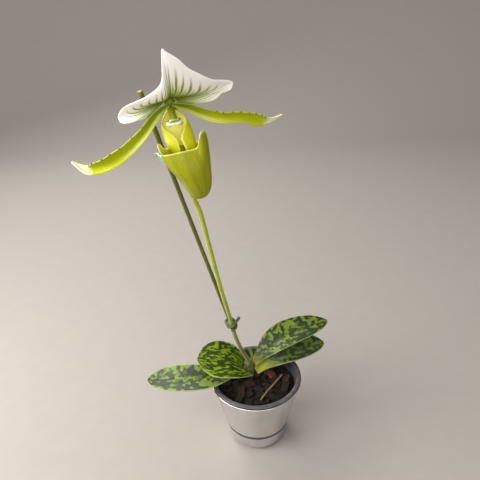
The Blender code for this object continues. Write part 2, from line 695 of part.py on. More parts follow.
def pouch():
    """The slipper: a tapering bag, its mouth drawn in, with a rounded ear at each side of it."""
    mouth_u, mouth_f = POUCH_MOUTH

    def place(s, t):
        angle = t * math.pi
        right_ear = 8.6 * math.exp(-((angle - 1.16) / 0.50) ** 4)
        left_ear = 5.2 * math.exp(-((angle + 1.72) / 0.50) ** 4)
        front = 0.9 * math.exp(-(angle / 0.75) ** 2)
        height = right_ear + left_ear
        reach = smooth_value(POUCH_WIDTH, s) - EAR_CURL * height * (1 - s) ** 8
        r = smooth_value(POUCH_DRIFT, s) + reach * math.sin(angle)
        f = mouth_f + POUCH_SWING * s + smooth_value(POUCH_DEPTH, s) * math.cos(angle)
        u = mouth_u - smooth_value(POUCH_DROP, s) + (height + front) * (1 - s) ** 5
        return bloom(r, u, f)

    return surface("pouch", place, 14, 30, LIP_THICKNESS, "lip", closed=True)


CLAW_ROUTE = ((0.0, -4.6, -0.6), (-0.2, -9.5, 2.4), (0.2, -14.5, 6.6), (0.9, -19.5, 9.6),
              (1.6, -25.5, 11.2))
CLAW_WIDTH = [(0.0, 3.0), (0.25, 7.0), (0.5, 7.8), (0.75, 7.6), (1.0, 6.6)]
CLAW_DEPTH = [(0.0, 0.9), (0.25, 2.8), (0.5, 5.2), (0.75, 6.2), (1.0, 5.6)]
CLAW_MOUTH_DEG = [(0.0, 104.0), (0.2, 82.0), (0.42, 26.0), (0.54, 8.0), (0.7, 9.0), (1.0, 15.0)]


def claw():
    """The lip's narrow base, its two side lobes rolled in until they nearly meet."""
    along = 10
    line = smooth_path([Vector(p) for p in CLAW_ROUTE], along + 1)

    def place(s, t):
        centre = line[round(s * along)]
        reach = math.pi - math.radians(smooth_value(CLAW_MOUTH_DEG, s))
        angle = math.pi + t * reach
        r = centre.x + smooth_value(CLAW_WIDTH, s) * math.sin(angle)
        f = centre.z + smooth_value(CLAW_DEPTH, s) * math.cos(angle)
        return bloom(r, centre.y, f)

    return surface("claw", place, along, 14, LIP_THICKNESS, "lip")


def lip():
    bag = pouch()
    bag.name = "lip"
    return boolean(bag, [claw()], "UNION")


COLUMN_ROUTE = ((0, -1.9, -2.2), (0, -2.6, 0.8), (0, -4.6, 4.2), (0, -7.4, 7.6))
COLUMN_RADII = (1.7, 1.8, 1.9, 2.0)
SHIELD_U = -8.6
SHIELD_F = 8.2
SHIELD_REACH = (0.35, 4.25)
SHIELD_TURN_DEG = 128.0
SHIELD_WIDE = 1.12
SHIELD_HIGH = 0.72
SHIELD_BOW = 0.36
SHIELD_DISH = 0.9
SHIELD_THICKNESS = 1.3


def column():
    """The short column that ends in a shield with a pale crescent and two horns."""
    post = tube("column", [bloom(*p) for p in COLUMN_ROUTE], COLUMN_RADII, "column")
    post = link("column", baked(post), "column")
    near, far = SHIELD_REACH

    def place(s, t):
        angle = t * math.radians(SHIELD_TURN_DEG)
        away = near + (far - near) * s
        bow = 1.0 - SHIELD_BOW * max(0.0, -math.cos(angle))
        r = away * math.sin(angle) * SHIELD_WIDE
        u = SHIELD_U + away * math.cos(angle) * bow * SHIELD_HIGH
        return bloom(r, u, SHIELD_F + SHIELD_DISH * s * s * math.cos(2.0 * angle))

    shield = surface("shield", place, 4, 14, SHIELD_THICKNESS, "column")
    return boolean(post, [shield], "UNION")


clear_scene()
PARTS = new_collection(OBJECT_NAME)
cachepot()
nursery_pot()
growing_medium()
dry_stick()
crown()
leaves()
cane()
scape()
floral_bract()
twist_tie()
stem_clip()
dorsal_sepal()
synsepal()
petals()
lip()
column()
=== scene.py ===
"""The finish of a potted slipper orchid: mottled leaves, a veined flower, a silver pot and bark."""
import random
from math import cos, exp, pi, radians, sin

import bmesh
import bpy
from mathutils import Matrix, Vector


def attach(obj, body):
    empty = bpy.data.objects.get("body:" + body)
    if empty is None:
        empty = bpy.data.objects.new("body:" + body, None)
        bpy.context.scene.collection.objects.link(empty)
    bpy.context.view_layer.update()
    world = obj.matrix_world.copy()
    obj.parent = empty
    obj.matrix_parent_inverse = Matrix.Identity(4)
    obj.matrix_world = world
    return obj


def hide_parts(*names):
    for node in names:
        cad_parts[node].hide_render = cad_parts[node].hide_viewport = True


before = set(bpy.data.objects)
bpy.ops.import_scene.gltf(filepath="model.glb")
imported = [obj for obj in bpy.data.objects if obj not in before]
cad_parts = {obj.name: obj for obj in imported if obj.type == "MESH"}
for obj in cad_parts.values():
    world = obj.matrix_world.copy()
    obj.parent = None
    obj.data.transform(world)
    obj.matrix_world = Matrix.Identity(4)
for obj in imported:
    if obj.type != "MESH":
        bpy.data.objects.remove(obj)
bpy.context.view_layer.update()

MM = 0.001

# Camera: where it stands in millimetres, how far it looks down and leans
CAMERA_PLACE = Vector((-8.84, -346.28, 390.12))
CAMERA_DOWN_DEG = 26.87
CAMERA_LEAN_DEG = 2.78
CAMERA_LENS = 36

# Flower: centre and the way that it faces
FLOWER = Vector((-43.3, -78.7, 339.8))
FACING_DEG = 10
NOD_DEG = 10
LEAN_DEG = 8

# Pot and medium
FOOT_RADIUS = 21
FOOT_HEIGHT = 3
LOW_RADIUS = 27
LOW_Z = 6
TOP_RADIUS = 41
POT_TOP_Z = 69.6
BEAD = 1.5
RIM_RADIUS = 42.1
RIM_WIDTH = 4
RIM_TOP_Z = 72
LINER_RADIUS = 30
LINER_Z = 19
BED_Z = 63
BED_RADIUS = 35.6
TURN_STEPS = 128

# The plant's stem, its supports and the shield, in millimetres and degrees
CANE_LOW = Vector((-6.7, 19.5, 62))
CANE_TOP = Vector((-62.2, -60, 344))
CANE_WAY = (CANE_TOP - CANE_LOW).normalized()
CANE_RADIUS = 1.55
SCAPE_RADIUS = 1.75
CROWN_LOW = Vector((-6.5, 10, 52))
CROWN_HIGH = Vector((-6.5, 10, 80))
CROWN_RADII = (6, 4.2)
STRAW_ROUTE = ((25, 3, 67.4), (17, -7, 66.4), (9, -17, 66), (3, -26, 65.6))
STRAW_RADIUS = 0.9
TIE_Z = 135.5
TIE_WIRE = 1.3
TIE_ROOM = 0.4
TIE_RISE = 5.2
TIE_STEPS = 84
TIE_START_DEG = -40
TIE_TURN_DEG = 470
TIE_STUB = ((1.2, -0.6, 1.6), (2.6, -0.8, 3.6), (3.8, -0.6, 5.6))
BRACT_LOW_Z = 308
BRACT_HIGH_Z = 336
BRACT_AWAY = [(0, 2.35), (0.6, 3.6), (1, 6.2)]
BRACT_REACH_DEG = [(0, 150), (0.5, 105), (1, 14)]
SHIELD_U = -8.6
SHIELD_F = 8.2
SHIELD_REACH = (0.35, 4.25)
SHIELD_TURN_DEG = 128
SHIELD_WIDE = 1.12
SHIELD_HIGH = 0.72
SHIELD_BOW = 0.36
SHIELD_DISH = 0.9

# How thick each kind of sheet is, and how much there is of a thing
LEAF_THICK = 1.3
SEPAL_THICK = 0.7
PETAL_THICK = 0.8
BRACT_THICK = 0.6
SHIELD_THICK = 1.2
SEPAL_VEINS = 11.5
PETAL_TWIST_DEG = 62
PETAL_HAIRS = 260
MOST_POINTS = 400000


def linear(code):
    """An sRGB hex colour as linear red, green, blue and alpha."""
    values = [int(code[i:i + 2], 16) / 255 for i in (1, 3, 5)]
    return (*(v / 12.92 if v <= 0.04045 else ((v + 0.055) / 1.055) ** 2.4 for v in values), 1)


def add(tree, kind, inputs=None, **settings):
    """Add a node with its settings, its values and the links into it."""
    node = tree.nodes.new(kind)
    for key, value in settings.items():
        setattr(node, key, value)
    for key, value in (inputs or {}).items():
        if isinstance(value, bpy.types.NodeSocket):
            tree.links.new(value, node.inputs[key])
        else:
            node.inputs[key].default_value = value
    return node


class Paint:
    """One material, with a short call for each kind of node that it is built from."""

    def __init__(self, name, roughness=0.5, specular=0.5, **sockets):
        self.material = bpy.data.materials.new(name)
        self.material.use_nodes = True
        self.tree = self.material.node_tree
        self.shader = self.tree.nodes["Principled BSDF"]
        sockets.update(Roughness=roughness, Specular_IOR_Level=specular)
        for key, value in sockets.items():
            self.shader.inputs[key.replace("_", " ")].default_value = value

    def add(self, kind, inputs=None, **settings):
        return add(self.tree, kind, inputs, **settings)

    def link(self, value, socket):
        self.tree.links.new(value, self.shader.inputs[socket])

    def blend(self, factor, first, second):
        """Two colours mixed by a factor; each is a socket or an sRGB code."""
        first, second = (linear(c) if isinstance(c, str) else c for c in (first, second))
        return self.add("ShaderNodeMix", {0: factor, 6: first, 7: second}, data_type="RGBA").outputs[2]

    def step(self, value, low, high, start=0, end=1):
        """A soft step from start to end, while the value goes from low to high."""
        return self.add("ShaderNodeMapRange", {
            "Value": value, "From Min": low, "From Max": high, "To Min": start, "To Max": end},
            interpolation_type="SMOOTHSTEP").outputs[0]

    def compute(self, operation, first, second=0, third=0):
        return self.add("ShaderNodeMath", {0: first, 1: second, 2: third}, operation=operation).outputs[0]

    def times(self, first, second, plus=0):
        return self.compute("MULTIPLY_ADD", first, second, plus)

    def blade(self):
        """A blade's own UV map, s from 0 to 1 along it, t from -1 to 1 across it, and t's size."""
        uv = self.add("ShaderNodeUVMap", uv_map="blade").outputs[0]
        parts = self.add("ShaderNodeSeparateXYZ", {0: uv}).outputs
        t = self.times(parts[1], 2, -1)
        return uv, parts[0], t, self.compute("ABSOLUTE", t)

    def place(self):
        return self.add("ShaderNodeTexCoord").outputs["Object"]

    def noise(self, vector, scale, detail=3, roughness=0.55, distortion=0):
        """Noise on a vector that is stretched by one scale, or by a scale for each axis."""
        scale = scale if isinstance(scale, tuple) else (scale,) * 3
        mapped = self.add("ShaderNodeMapping", {"Vector": vector, "Scale": scale}).outputs[0]
        return self.add("ShaderNodeTexNoise", {
            "Vector": mapped, "Scale": 1, "Detail": detail, "Roughness": roughness,
            "Distortion": distortion}).outputs[0]

    def finish(self, colour, height, distance, strength):
        """The material, with its colour and its fine relief linked to the shader."""
        bump = self.add("ShaderNodeBump", {"Height": height, "Distance": distance, "Strength": strength})
        self.link(bump.outputs[0], "Normal")
        self.link(colour, "Base Color")
        return self.material


def leaf_tissue(name, cells, light, dark, offset=0, yellow=0.2, painted_sheen="#6f7f6a"):
    """Living leaf, satin cuticle: dark and light patches in rows along its veins, paler at the base, under
    a painted sheen.
    """
    p = Paint(name, 0.42, 0.3)
    uv, s, t, away = p.blade()
    moved = p.add("ShaderNodeMapping", {
        "Vector": uv, "Location": (offset, offset * 0.7, 0), "Scale": cells}).outputs[0]
    bent = moved
    for scale, detail, reach in ((0.9, 2, 1.1), (3.2, 3, 0.5)):
        drift = p.add("ShaderNodeTexNoise", {"Vector": moved, "Scale": scale, "Detail": detail}).outputs[1]
        bent = p.add("ShaderNodeVectorMath", {0: drift, 1: (reach, reach, 0), 2: bent},
                     operation="MULTIPLY_ADD").outputs[0]
    patch = p.add("ShaderNodeTexVoronoi", {"Vector": bent, "Scale": 1, "Randomness": 0.85},
                  voronoi_dimensions="2D")
    tone = p.add("ShaderNodeSeparateColor", {0: patch.outputs["Color"]}).outputs[0]
    grain = p.add("ShaderNodeTexNoise", {"Vector": moved, "Scale": 5, "Detail": 3}).outputs[0]
    mask = p.step(p.times(grain, 0.5, tone), 0.54, 0.72)
    colour = p.blend(mask, p.blend(p.times(tone, 1.6), *light), p.blend(p.step(tone, 0.5, 1), *dark))
    # Painted sheen: a paler tone painted over the colour in soft patches, as the reflection of the room on
    # the cuticle.
    colour = p.blend(p.times(p.noise(uv, (5, 3, 1), 2), 0.12), colour, painted_sheen)
    rib = p.step(away, 0, 0.045, 1, 0)
    colour = p.blend(p.times(rib, 0.5), colour, "#2f421b")
    colour = p.blend(p.step(away, 0.94, 1, 0, 0.6), colour, "#a9b86a")
    base = p.step(p.times(grain, 0.12, s), yellow * 0.4, yellow + 0.1, 0.8, 0)
    colour = p.blend(base, colour, "#98992f")
    veins = p.compute("SINE", p.times(t, 46))
    height = p.times(veins, 0.10, p.times(rib, -0.8))
    return p.finish(colour, p.times(grain, 0.25, height), 0.0006, 0.55)


def leaf_underside():
    """The leaf's underside: matt, pale green, with a keel and fine purple specks near the base."""
    p = Paint("leaf_underside", 0.55, 0.4)
    uv, s, _, away = p.blade()
    speck = p.noise(uv, (90, 40, 1), 2)
    keel = p.step(away, 0, 0.08, 0.6, 0)
    colour = p.blend(keel, p.blend(p.noise(uv, (6, 3, 1), 2), "#5e7a2a", "#7f9846"), "#a5b46c")
    near = p.step(s, 0, 0.4, 0.8, 0)
    colour = p.blend(p.times(p.step(speck, 0.6, 0.7), near), colour, "#5a3f45")
    return p.finish(colour, p.times(keel, 1.5, speck), 0.0004, 0.4)


def dorsal_tissue():
    """White sepal tissue, soft and thin: green at the base, with veins that fan out and fade."""
    p = Paint("sepal_tissue_white", 0.5, 0.3)
    uv, s, t, away = p.blade()
    wander = p.noise(uv, (3, 7, 1), 1)
    across = p.times(wander, 0.04, p.times(t, p.times(p.times(s, s), 0.5, 1)))
    width = p.step(s, 0, 0.85, 0.72, 0.36)

    def vein_lines(share, fade_start, fade_end, shift):
        phase = p.compute("FRACT", p.times(across, SEPAL_VEINS, shift + 50))
        off = p.times(p.compute("ABSOLUTE", p.times(phase, 1, -0.5)), 2)
        thin = p.times(width, share)
        line = p.step(off, thin, p.times(thin, 0.35))
        return p.times(line, p.step(s, fade_start, fade_end, 1, 0))

    main = vein_lines(1, 0.62, 0.93, 0.5)
    short = vein_lines(0.8, 0.34, 0.66, 0)
    lines = p.compute("MAXIMUM", main, p.times(short, 0.8))
    cream = p.blend(p.step(s, 0.15, 0.75), "#e3e6a0", "#fdfaf4")
    cream = p.blend(p.step(away, 0.62, 0.97, 0, 0.8), cream, "#c3cc6a")
    tint = p.blend(p.step(s, 0.15, 0.7), "#6f8c00", "#8ea200")
    green = p.step(p.times(wander, 0.1, s), 0.15, 0.42, 1, 0)
    colour = p.blend(green, p.blend(lines, cream, tint), "#7b9200")
    return p.finish(colour, p.times(lines, -0.6, wander), 0.0005, 0.5)


def petal_tissue():
    """Green petal tissue, cream at the twisted tip, with painted light and shade: deep green above the
    midrib is painted shade, pale below it is painted light.
    """
    p = Paint("petal_tissue_green", 0.5, 0.2)
    uv, s, t, away = p.blade()
    wander = p.noise(uv, (14, 3, 1), 2)
    # Painted light and shade: this mask splits the petal into an upper band in painted shade and a lower
    # band in painted light.
    upper = p.step(p.times(wander, 0.3, t), -0.52, -0.16)
    streak = p.compute("SINE", p.times(t, 26))
    # Near the base, green (the upper band) is darker as painted shade and pale (the lower band) is lighter
    # as painted light; further out the two meet in one yellow green.
    green = p.blend(p.step(s, 0.05, 0.42), "#728800", "#b3bc00")
    pale = p.blend(p.step(s, 0, 0.3), "#b4bd3a", "#dadf6a")
    pale = p.blend(p.step(s, 0.34, 0.52), pale, "#b9bf1a")
    colour = p.blend(upper, pale, green)
    colour = p.blend(p.times(p.step(streak, 0.2, 1), 0.25), colour, "#717e06")
    colour = p.blend(p.step(away, 0.88, 1, 0, 0.4), colour, "#c8cc70")
    colour = p.blend(p.step(p.times(wander, 0.12, s), 0.82, 0.93), colour, "#f3eec2")
    return p.finish(colour, p.times(streak, 0.3, wander), 0.0005, 0.5)


def grained(name, scale, detail, tones, distance, strength, roughness, specular=0.5):
    """A material of two close tones in one fine grain, which is its relief too."""
    p = Paint(name, roughness, specular)
    grain = p.noise(p.place(), scale, detail)
    return p.finish(p.blend(grain, *tones), grain, distance, strength)


def wart_tissue():
    """Small swollen warts on the petal's margin, dark green and shiny."""
    return grained("wart_tissue_dark", 2500, 2, ("#465a0c", "#6b8016"), 0.0001, 0.4, 0.3)


def anther_tissue():
    """The two anthers: dark brown, sticky and shiny."""
    return grained("anther_dark_brown", 2500, 2, ("#2b1a05", "#5b4311"), 0.0001, 0.4, 0.2)


def margin_hair():
    """Fine bristle: pale green at this size, dull."""
    return grained("bristle_pale_green", 800, 1, ("#7a8436", "#b9c07c"), 0.0001, 0.3, 0.7)


def column_tissue():
    """Waxy column: two olive greens in a fine grain."""
    return grained("column_tissue", 900, 2, ("#6f7204", "#969616"), 0.0003, 0.4, 0.4, 0.45)


def dry_straw():
    """Dead root, dried pale brown and wrinkled lengthwise."""
    return grained("dry_root", (900, 500, 900), 3, ("#4a361d", "#8a6d43"), 0.0005, 0.8, 0.8)


def tie_plastic():
    """Soft extruded plastic over wire: dark green, matt, dusty in its folds."""
    return grained("soft_pvc_dark_green", 500, 3, ("#2a350f", "#4b5626"), 0.0003, 0.5, 0.6)


def lip_tissue():
    """Waxy lip tissue: yellow green with darker upright veins and a pale thin edge."""
    p = Paint("lip_tissue_green", 0.42, 0.25)
    uv, s, t, away = p.blade()
    wander = p.noise(uv, (3, 5, 1), 2)
    ridges = p.compute("SINE", p.times(p.times(wander, 0.12, t), 36))
    net = p.noise(uv, (12, 60, 1), 2)
    colour = p.blend(wander, "#7b7f00", "#979700")
    colour = p.blend(p.times(p.step(ridges, 0.1, 1), 0.22), colour, "#686d00")
    colour = p.blend(p.step(net, 0.55, 0.75, 0, 0.2), colour, "#b0ad2c")
    colour = p.blend(p.step(s, 0, 0.03, 0.7, 0), colour, "#dfe27a")
    colour = p.blend(p.step(away, 0.5, 0.66, 0, 0.75), colour, "#d9e07a")
    return p.finish(colour, p.times(ridges, 0.25, net), 0.0006, 0.45)


def lip_lining(name, low, high):
    """The lip's inner skin: waxy yellow, lifted to pale, bright tones as painted light, for the light that
    thin tissue lets into the shaded inside.
    """
    p = Paint(name, 0.5, 0.2)
    uv = p.blade()[0]
    wander = p.noise(uv, (5, 9, 1), 2)
    speck = p.noise(uv, (70, 110, 1), 1)
    # low and high are the lining's own yellow lifted by painted light.
    colour = p.blend(p.step(speck, 0.66, 0.74, 0, 0.35), p.blend(wander, low, high), "#8c8a14")
    return p.finish(colour, wander, 0.0004, 0.4)


def lobe_tissue():
    """The lip's rolled side lobes: green bands with pale, thin edges."""
    p = Paint("lobe_tissue_green", 0.42, 0.25)
    uv, s, _, away = p.blade()
    wander = p.noise(uv, (4, 6, 1), 2)
    colour = p.blend(wander, "#a5a700", "#c0bf10")
    colour = p.blend(p.step(away, 0.25, 0.52, 0.9, 0), colour, "#f6f3a4")
    colour = p.blend(p.step(away, 0.93, 1, 0, 0.45), colour, "#e6ea84")
    colour = p.blend(p.step(s, 0, 0.3, 0.7, 0), colour, "#d0d018")
    return p.finish(colour, wander, 0.0005, 0.4)


def shield_tissue():
    """The shield before the column: grey green, with a white bar across it that fades towards one side, and
    a pale horn.
    """
    p = Paint("shield_tissue", 0.3)
    uv, s, t, _ = p.blade()
    angle = p.times(t, radians(SHIELD_TURN_DEG))
    high = p.times(s, p.compute("COSINE", angle))
    side = p.times(s, p.compute("SINE", angle))
    sag = p.times(p.times(side, side), -0.35, high)
    bar = p.step(p.compute("ABSOLUTE", p.times(sag, 1, -0.12)), 0.2, 0.34, 1, 0)
    grain = p.noise(uv, (6, 14, 1), 2)
    horn = p.times(p.step(s, 0.7, 0.95), p.step(side, -0.2, -0.5))
    face = p.blend(p.times(horn, 0.7), p.blend(grain, "#8d9a3c", "#b7bf63"), "#e3e5a8")
    colour = p.blend(p.times(bar, p.step(side, 0.95, 0.3, 0.35, 1)), face, "#fdfcf2")
    return p.finish(colour, p.times(bar, 0.8, grain), 0.0004, 0.5)


def stem_tissue(name, low="#5f6208", high="#a1a924"):
    """Hairy green flower stem: darker and browner low down, with fine down that lightens its edge."""
    p = Paint(name, 0.55, Sheen_Weight=0.35, Sheen_Roughness=0.4)
    place = p.place()
    height = p.add("ShaderNodeSeparateXYZ", {0: place}).outputs[2]
    speck = p.noise(place, (1400, 1400, 500), 3)
    streak = p.noise(place, (500, 500, 40), 2)
    colour = p.blend(p.step(height, 0.09, 0.2), low, high)
    colour = p.blend(p.step(streak, 0.4, 0.75, 0, 0.5), colour, "#5e6a1a")
    colour = p.blend(p.step(speck, 0.55, 0.7, 0, 0.35), colour, "#c9cd80")
    return p.finish(colour, speck, 0.0003, 0.6)


def dyed_bamboo():
    """Split bamboo dyed dark green: lengthwise fibres, worn brown in streaks."""
    p = Paint("bamboo_dyed_green", 0.6)
    place = p.place()
    fibre = p.noise(place, (1600, 1600, 60), 3)
    worn = p.step(p.noise(place, (120, 120, 30), 2), 0.5, 0.75, 0, 0.6)
    return p.finish(p.blend(worn, p.blend(fibre, "#3d3e05", "#64640f"), "#7d7926"), fibre, 0.0003, 0.7)


def cut_bamboo():
    """The cane's sawn end: tan fibres with dark pores."""
    p = Paint("bamboo_cut_end", 0.8)
    pores = p.add("ShaderNodeTexVoronoi", {"Vector": p.place(), "Scale": 2600}).outputs[0]
    return p.finish(p.blend(p.step(pores, 0.15, 0.4), "#6e5128", "#c7a15f"), pores, 0.0002, 0.7)


def silvered_plastic():
    """Moulded plastic with a vapour-coated silver skin: mirror bright, with faint rings and smudges."""
    p = Paint("silvered_moulded_plastic", Metallic=1, Coat_Weight=0.25, Coat_Roughness=0.12)
    place = p.place()
    rings = p.noise(place, (8, 8, 900), 2)
    smudge = p.noise(place, (45, 45, 30), 4, 0.6, 0.6)
    fine = p.noise(place, 260, 3)
    p.link(p.times(smudge, 0.14, p.times(fine, 0.05, 0.08)), "Roughness")
    return p.finish(p.blend(smudge, "#f0efee", "#c6c3c1"), p.times(rings, 0.3, smudge), 0.0006, 0.3)


def dark_plastic():
    """Recycled polypropylene, vacuum formed: dark grey, satin, scuffed on the rim."""
    p = Paint("polypropylene_dark_grey", specular=0.45)
    place = p.place()
    scuff = p.noise(place, (90, 90, 260), 4, 0.7)
    grain = p.noise(place, 1500, 2)
    p.link(p.times(scuff, 0.3, 0.28), "Roughness")
    colour = p.blend(p.step(scuff, 0.5, 0.75, 0, 0.55), "#3f3b3e", "#7b7577")
    return p.finish(colour, p.times(grain, 0.4, scuff), 0.0003, 0.4)


def bark(name, tones, spread):
    """Pine bark chips, each its own brown: fibrous, with dark cracks."""
    p = Paint(name, 0.85, 0.25)
    place = p.place()
    chip = p.add("ShaderNodeNewGeometry").outputs["Random Per Island"]
    ramp = p.add("ShaderNodeValToRGB", {0: chip})
    ramp.color_ramp.interpolation = "CONSTANT"
    stops = ramp.color_ramp.elements
    stops.remove(stops[1])
    stops[0].color = linear(tones[0])
    for position, tone in zip(spread, tones[1:]):
        stops.new(position).color = linear(tone)
    fibre = p.noise(place, (220, 900, 700), 4, 0.65, 0.4)
    crack = p.noise(place, 700, 3)
    colour = p.blend(p.step(fibre, 0.35, 0.62, 0.85, 0), ramp.outputs[0], "#120b07")
    return p.finish(colour, p.times(crack, 0.5, fibre), 0.0012, 1)


def clip_plastic():
    """Clear moulded polycarbonate with a green tint; it lets light through and shines at its edges."""
    p = Paint("polycarbonate_clear_green", Transmission_Weight=0.45, IOR=1.58, Coat_Weight=0.2)
    haze = p.noise(p.place(), 250, 2)
    p.link(p.times(haze, 0.12, 0.12), "Roughness")
    return p.finish(p.blend(haze, "#a9c49b", "#8fb287"), haze, 0.0002, 0.3)


def as_mesh(shape):
    """The bmesh as a mesh; the bmesh itself is freed."""
    mesh = bpy.data.meshes.new("shape")
    shape.to_mesh(mesh)
    shape.free()
    return mesh


def linked(name, data):
    """A new object in the scene."""
    thing = bpy.data.objects.new(name, data)
    bpy.context.scene.collection.objects.link(thing)
    return thing


def add_piece(name, mesh, material, slot, *nodes, smooth=True):
    """Link a mesh as a piece that rides on the part, in the place of its CAD nodes."""
    mesh.name = name
    mesh.materials.clear()
    mesh.materials.append(material)
    if smooth:
        mesh.shade_smooth()
    piece = linked(name, mesh)
    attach(piece, "root")
    if nodes:
        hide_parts(*nodes)
    return piece


def blade_mesh(place, along, across, closed=False):
    """A grid placed by place(s, t), in millimetres, with s and t kept as its UV map."""
    grid = bmesh.new()
    bmesh.ops.create_grid(grid, x_segments=along, y_segments=across, size=0.5)
    layer = grid.loops.layers.uv.new("blade")
    for face in grid.faces:
        for corner in face.loops:
            corner[layer].uv = (corner.vert.co.x + 0.5, corner.vert.co.y + 0.5)
    for vert in grid.verts:
        vert.co = place(vert.co.x + 0.5, 2 * vert.co.y) * MM
    if closed:
        bmesh.ops.remove_doubles(grid, verts=grid.verts, dist=0.00001)
    return as_mesh(grid)


def sheet(name, mesh, material, slot, nodes, thickness, underside=None):
    """A piece whose mesh is a thin sheet: it gets its thickness, and its edges are rounded."""
    piece = add_piece(name, mesh, material, slot, *nodes)
    wall = piece.modifiers.new("thickness", "SOLIDIFY")
    wall.thickness = thickness * MM
    wall.offset = 0
    if underside:
        piece.data.materials.append(underside)
        wall.material_offset = 1
    piece.modifiers.new("round", "SUBSURF").render_levels = 1


def vectors(points):
    return [Vector(p) for p in points]


def smooth_path(points, count):
    """count points on the smooth curve that passes through the given ones."""
    return [point_at(points, i / (count - 1)) for i in range(count)]


def point_at(points, s):
    """The point at s, from 0 to 1, on the smooth curve that passes through the given ones."""
    knots = [points[0] * 2 - points[1], *points, points[-1] * 2 - points[-2]]
    position = s * (len(points) - 1)
    index = min(int(position), len(points) - 2)
    f = position - index
    a, b, c, d = knots[index:index + 4]
    return 0.5 * (2 * b + (c - a) * f + (2 * a - 5 * b + 4 * c - d) * f * f
                  + (3 * b - a - 3 * c + d) * f ** 3)


def heading(points, s, near):
    """The way that the curve runs at s, from near before it to near after it."""
    return (point_at(points, min(s + near, 1)) - point_at(points, max(s - near, 0))).normalized()


def value_at(stations, s):
    """The value at s of a smooth curve through (place, value) stations."""
    index = 0
    while index < len(stations) - 2 and s > stations[index + 1][0]:
        index += 1
    low, high = stations[index], stations[index + 1]
    before = stations[max(index - 1, 0)]
    after = stations[min(index + 2, len(stations) - 1)]
    span = high[0] - low[0]
    f = (s - low[0]) / span
    rise_low = span * (high[1] - before[1]) / (high[0] - before[0])
    rise_high = span * (after[1] - low[1]) / (after[0] - low[0])
    return ((2 * f ** 3 - 3 * f * f + 1) * low[1] + (f ** 3 - 2 * f * f + f) * rise_low
            + (3 * f * f - 2 * f ** 3) * high[1] + (f ** 3 - f * f) * rise_high)


def flower_axes():
    """The flower's own right, up and facing directions."""
    a, e, r = (radians(v) for v in (FACING_DEG, -NOD_DEG, LEAN_DEG))
    facing = Vector((sin(a) * cos(e), -cos(a) * cos(e), sin(e)))
    level = Vector((cos(a), sin(a), 0))
    upright = facing.cross(level)
    up = cos(r) * upright - sin(r) * level
    right = cos(r) * level + sin(r) * upright
    return right, up, facing


RIGHT, UP, FACING = flower_axes()


def bloom(r, u, f):
    """A point given to the flower's right, up and front, from its centre."""
    return FLOWER + r * RIGHT + u * UP + f * FACING


LEAF_OUTLINE = [(0, 0.26), (0.12, 0.42), (0.3, 0.8), (0.5, 1), (0.7, 0.96), (0.86, 0.7),
                (0.95, 0.38), (1, 0.07)]
BROAD_OUTLINE = [(0, 0.34), (0.1, 0.66), (0.25, 0.93), (0.45, 1), (0.68, 0.93), (0.86, 0.66),
                 (0.95, 0.36), (1, 0.07)]


def leaf(name, midrib, half_width, far_edge_up, fold, underside, material, outline=LEAF_OUTLINE, clasp=0):
    """A strap leaf folded along its midrib, with its far edge tipped up.

    clasp is how far the near side of its base reaches round the front of the crown.
    """
    knots = vectors(midrib)

    def place(s, t):
        ahead = heading(knots, s, 1 / 16)
        far = Vector((-ahead.y, ahead.x, 0)).normalized()
        if far.y < 0:
            far = -far
        normal = ahead.cross(far)
        if normal.z < 0:
            normal = -normal
        tip = radians(far_edge_up)
        side = cos(tip) * far + sin(tip) * normal
        face = cos(tip) * normal - sin(tip) * far
        reach = half_width * value_at(outline, s)
        bend = radians(fold)
        lift = sin(bend) * abs(t) ** 1.3 + 0.035 * sin(9 * s + 2 * t) * t * t
        near = max(-t, 0)
        wrap = Vector((near ** 1.5, -0.12 * sin(pi * near), -0.33 * near)) * clasp * (1 - s) ** 6
        return point_at(knots, s) + reach * (cos(bend) * t * side + lift * face) + wrap

    mesh = blade_mesh(place, 44, 18)
    if sum(face.normal.z * face.area for face in mesh.polygons) < 0:
        mesh.flip_normals()
    sheet(name + "_blade", mesh, material, "leaf", [name], LEAF_THICK, underside)


def leaves():
    """The four mottled leaves and the sheath behind; cells are patches along and across a blade."""
    under = leaf_underside()
    old = ((29, 10, 1), ("#577009", "#768822"), ("#152206", "#202c17"))
    leaf("leaf_left_low", [
        (-13.6, 8, 67), (-27, -1, 76.5), (-45, -9.5, 79), (-66, -9.5, 78.5), (-86, -5, 75.5),
        (-102.3, 1.2, 71.5)], 13.8, 20, 16, under, leaf_tissue("leaf_tissue_old_left", *old, 0.3))
    # The young leaf's last colour, #7c9a2a, is its painted sheen.
    leaf("leaf_left_high", [
        (-12.9, 8, 74.5), (-21, 4.5, 84), (-31, 0.5, 90), (-42.5, -1.5, 94), (-53.2, -3, 96)],
        18.5, 31, 12, under,
        leaf_tissue("leaf_tissue_young", (14, 28, 1), ("#6a8604", "#90a21c"), ("#132702", "#213a07"),
                    1.7, 0.02, "#7c9a2a"), BROAD_OUTLINE, 10.5)
    leaf("leaf_right_high", [
        (-1.3, 12.2, 74.5), (9, 16.5, 85), (20, 22, 92), (33, 28, 95.5), (55, 37, 97), (75, 47, 95)],
        14.2, 20, 15, under, leaf_tissue("leaf_tissue_old_right", *old, 2.9, 0.12))
    # Painted shade: this leaf's tones are darker copies of the old leaves' tones.
    leaf("leaf_right_low", [
        (0.6, 9.4, 67), (12, 13, 76), (24, 18, 80), (35, 22.8, 80), (54, 31, 78.5), (70.4, 36.5, 76)],
        15.5, 16, 14, under,
        leaf_tissue("leaf_tissue_shaded", old[0], ("#48600f", "#667b22"), ("#142106", "#1f2b15"), 4.1, 0.3))
    leaf("young_leaf", [
        (-3, 17.2, 67), (-3.2, 19.4, 75), (-4.2, 19.2, 83), (-5.4, 17, 91)], 3, 0, 30, under,
        leaf_tissue("leaf_tissue_sheath", (6, 3, 1), ("#3c4a1c", "#4d5c26"), ("#1b2611", "#28341c"), 5.2),
        [(0, 0.7), (0.4, 1), (0.75, 0.7), (1, 0.12)])


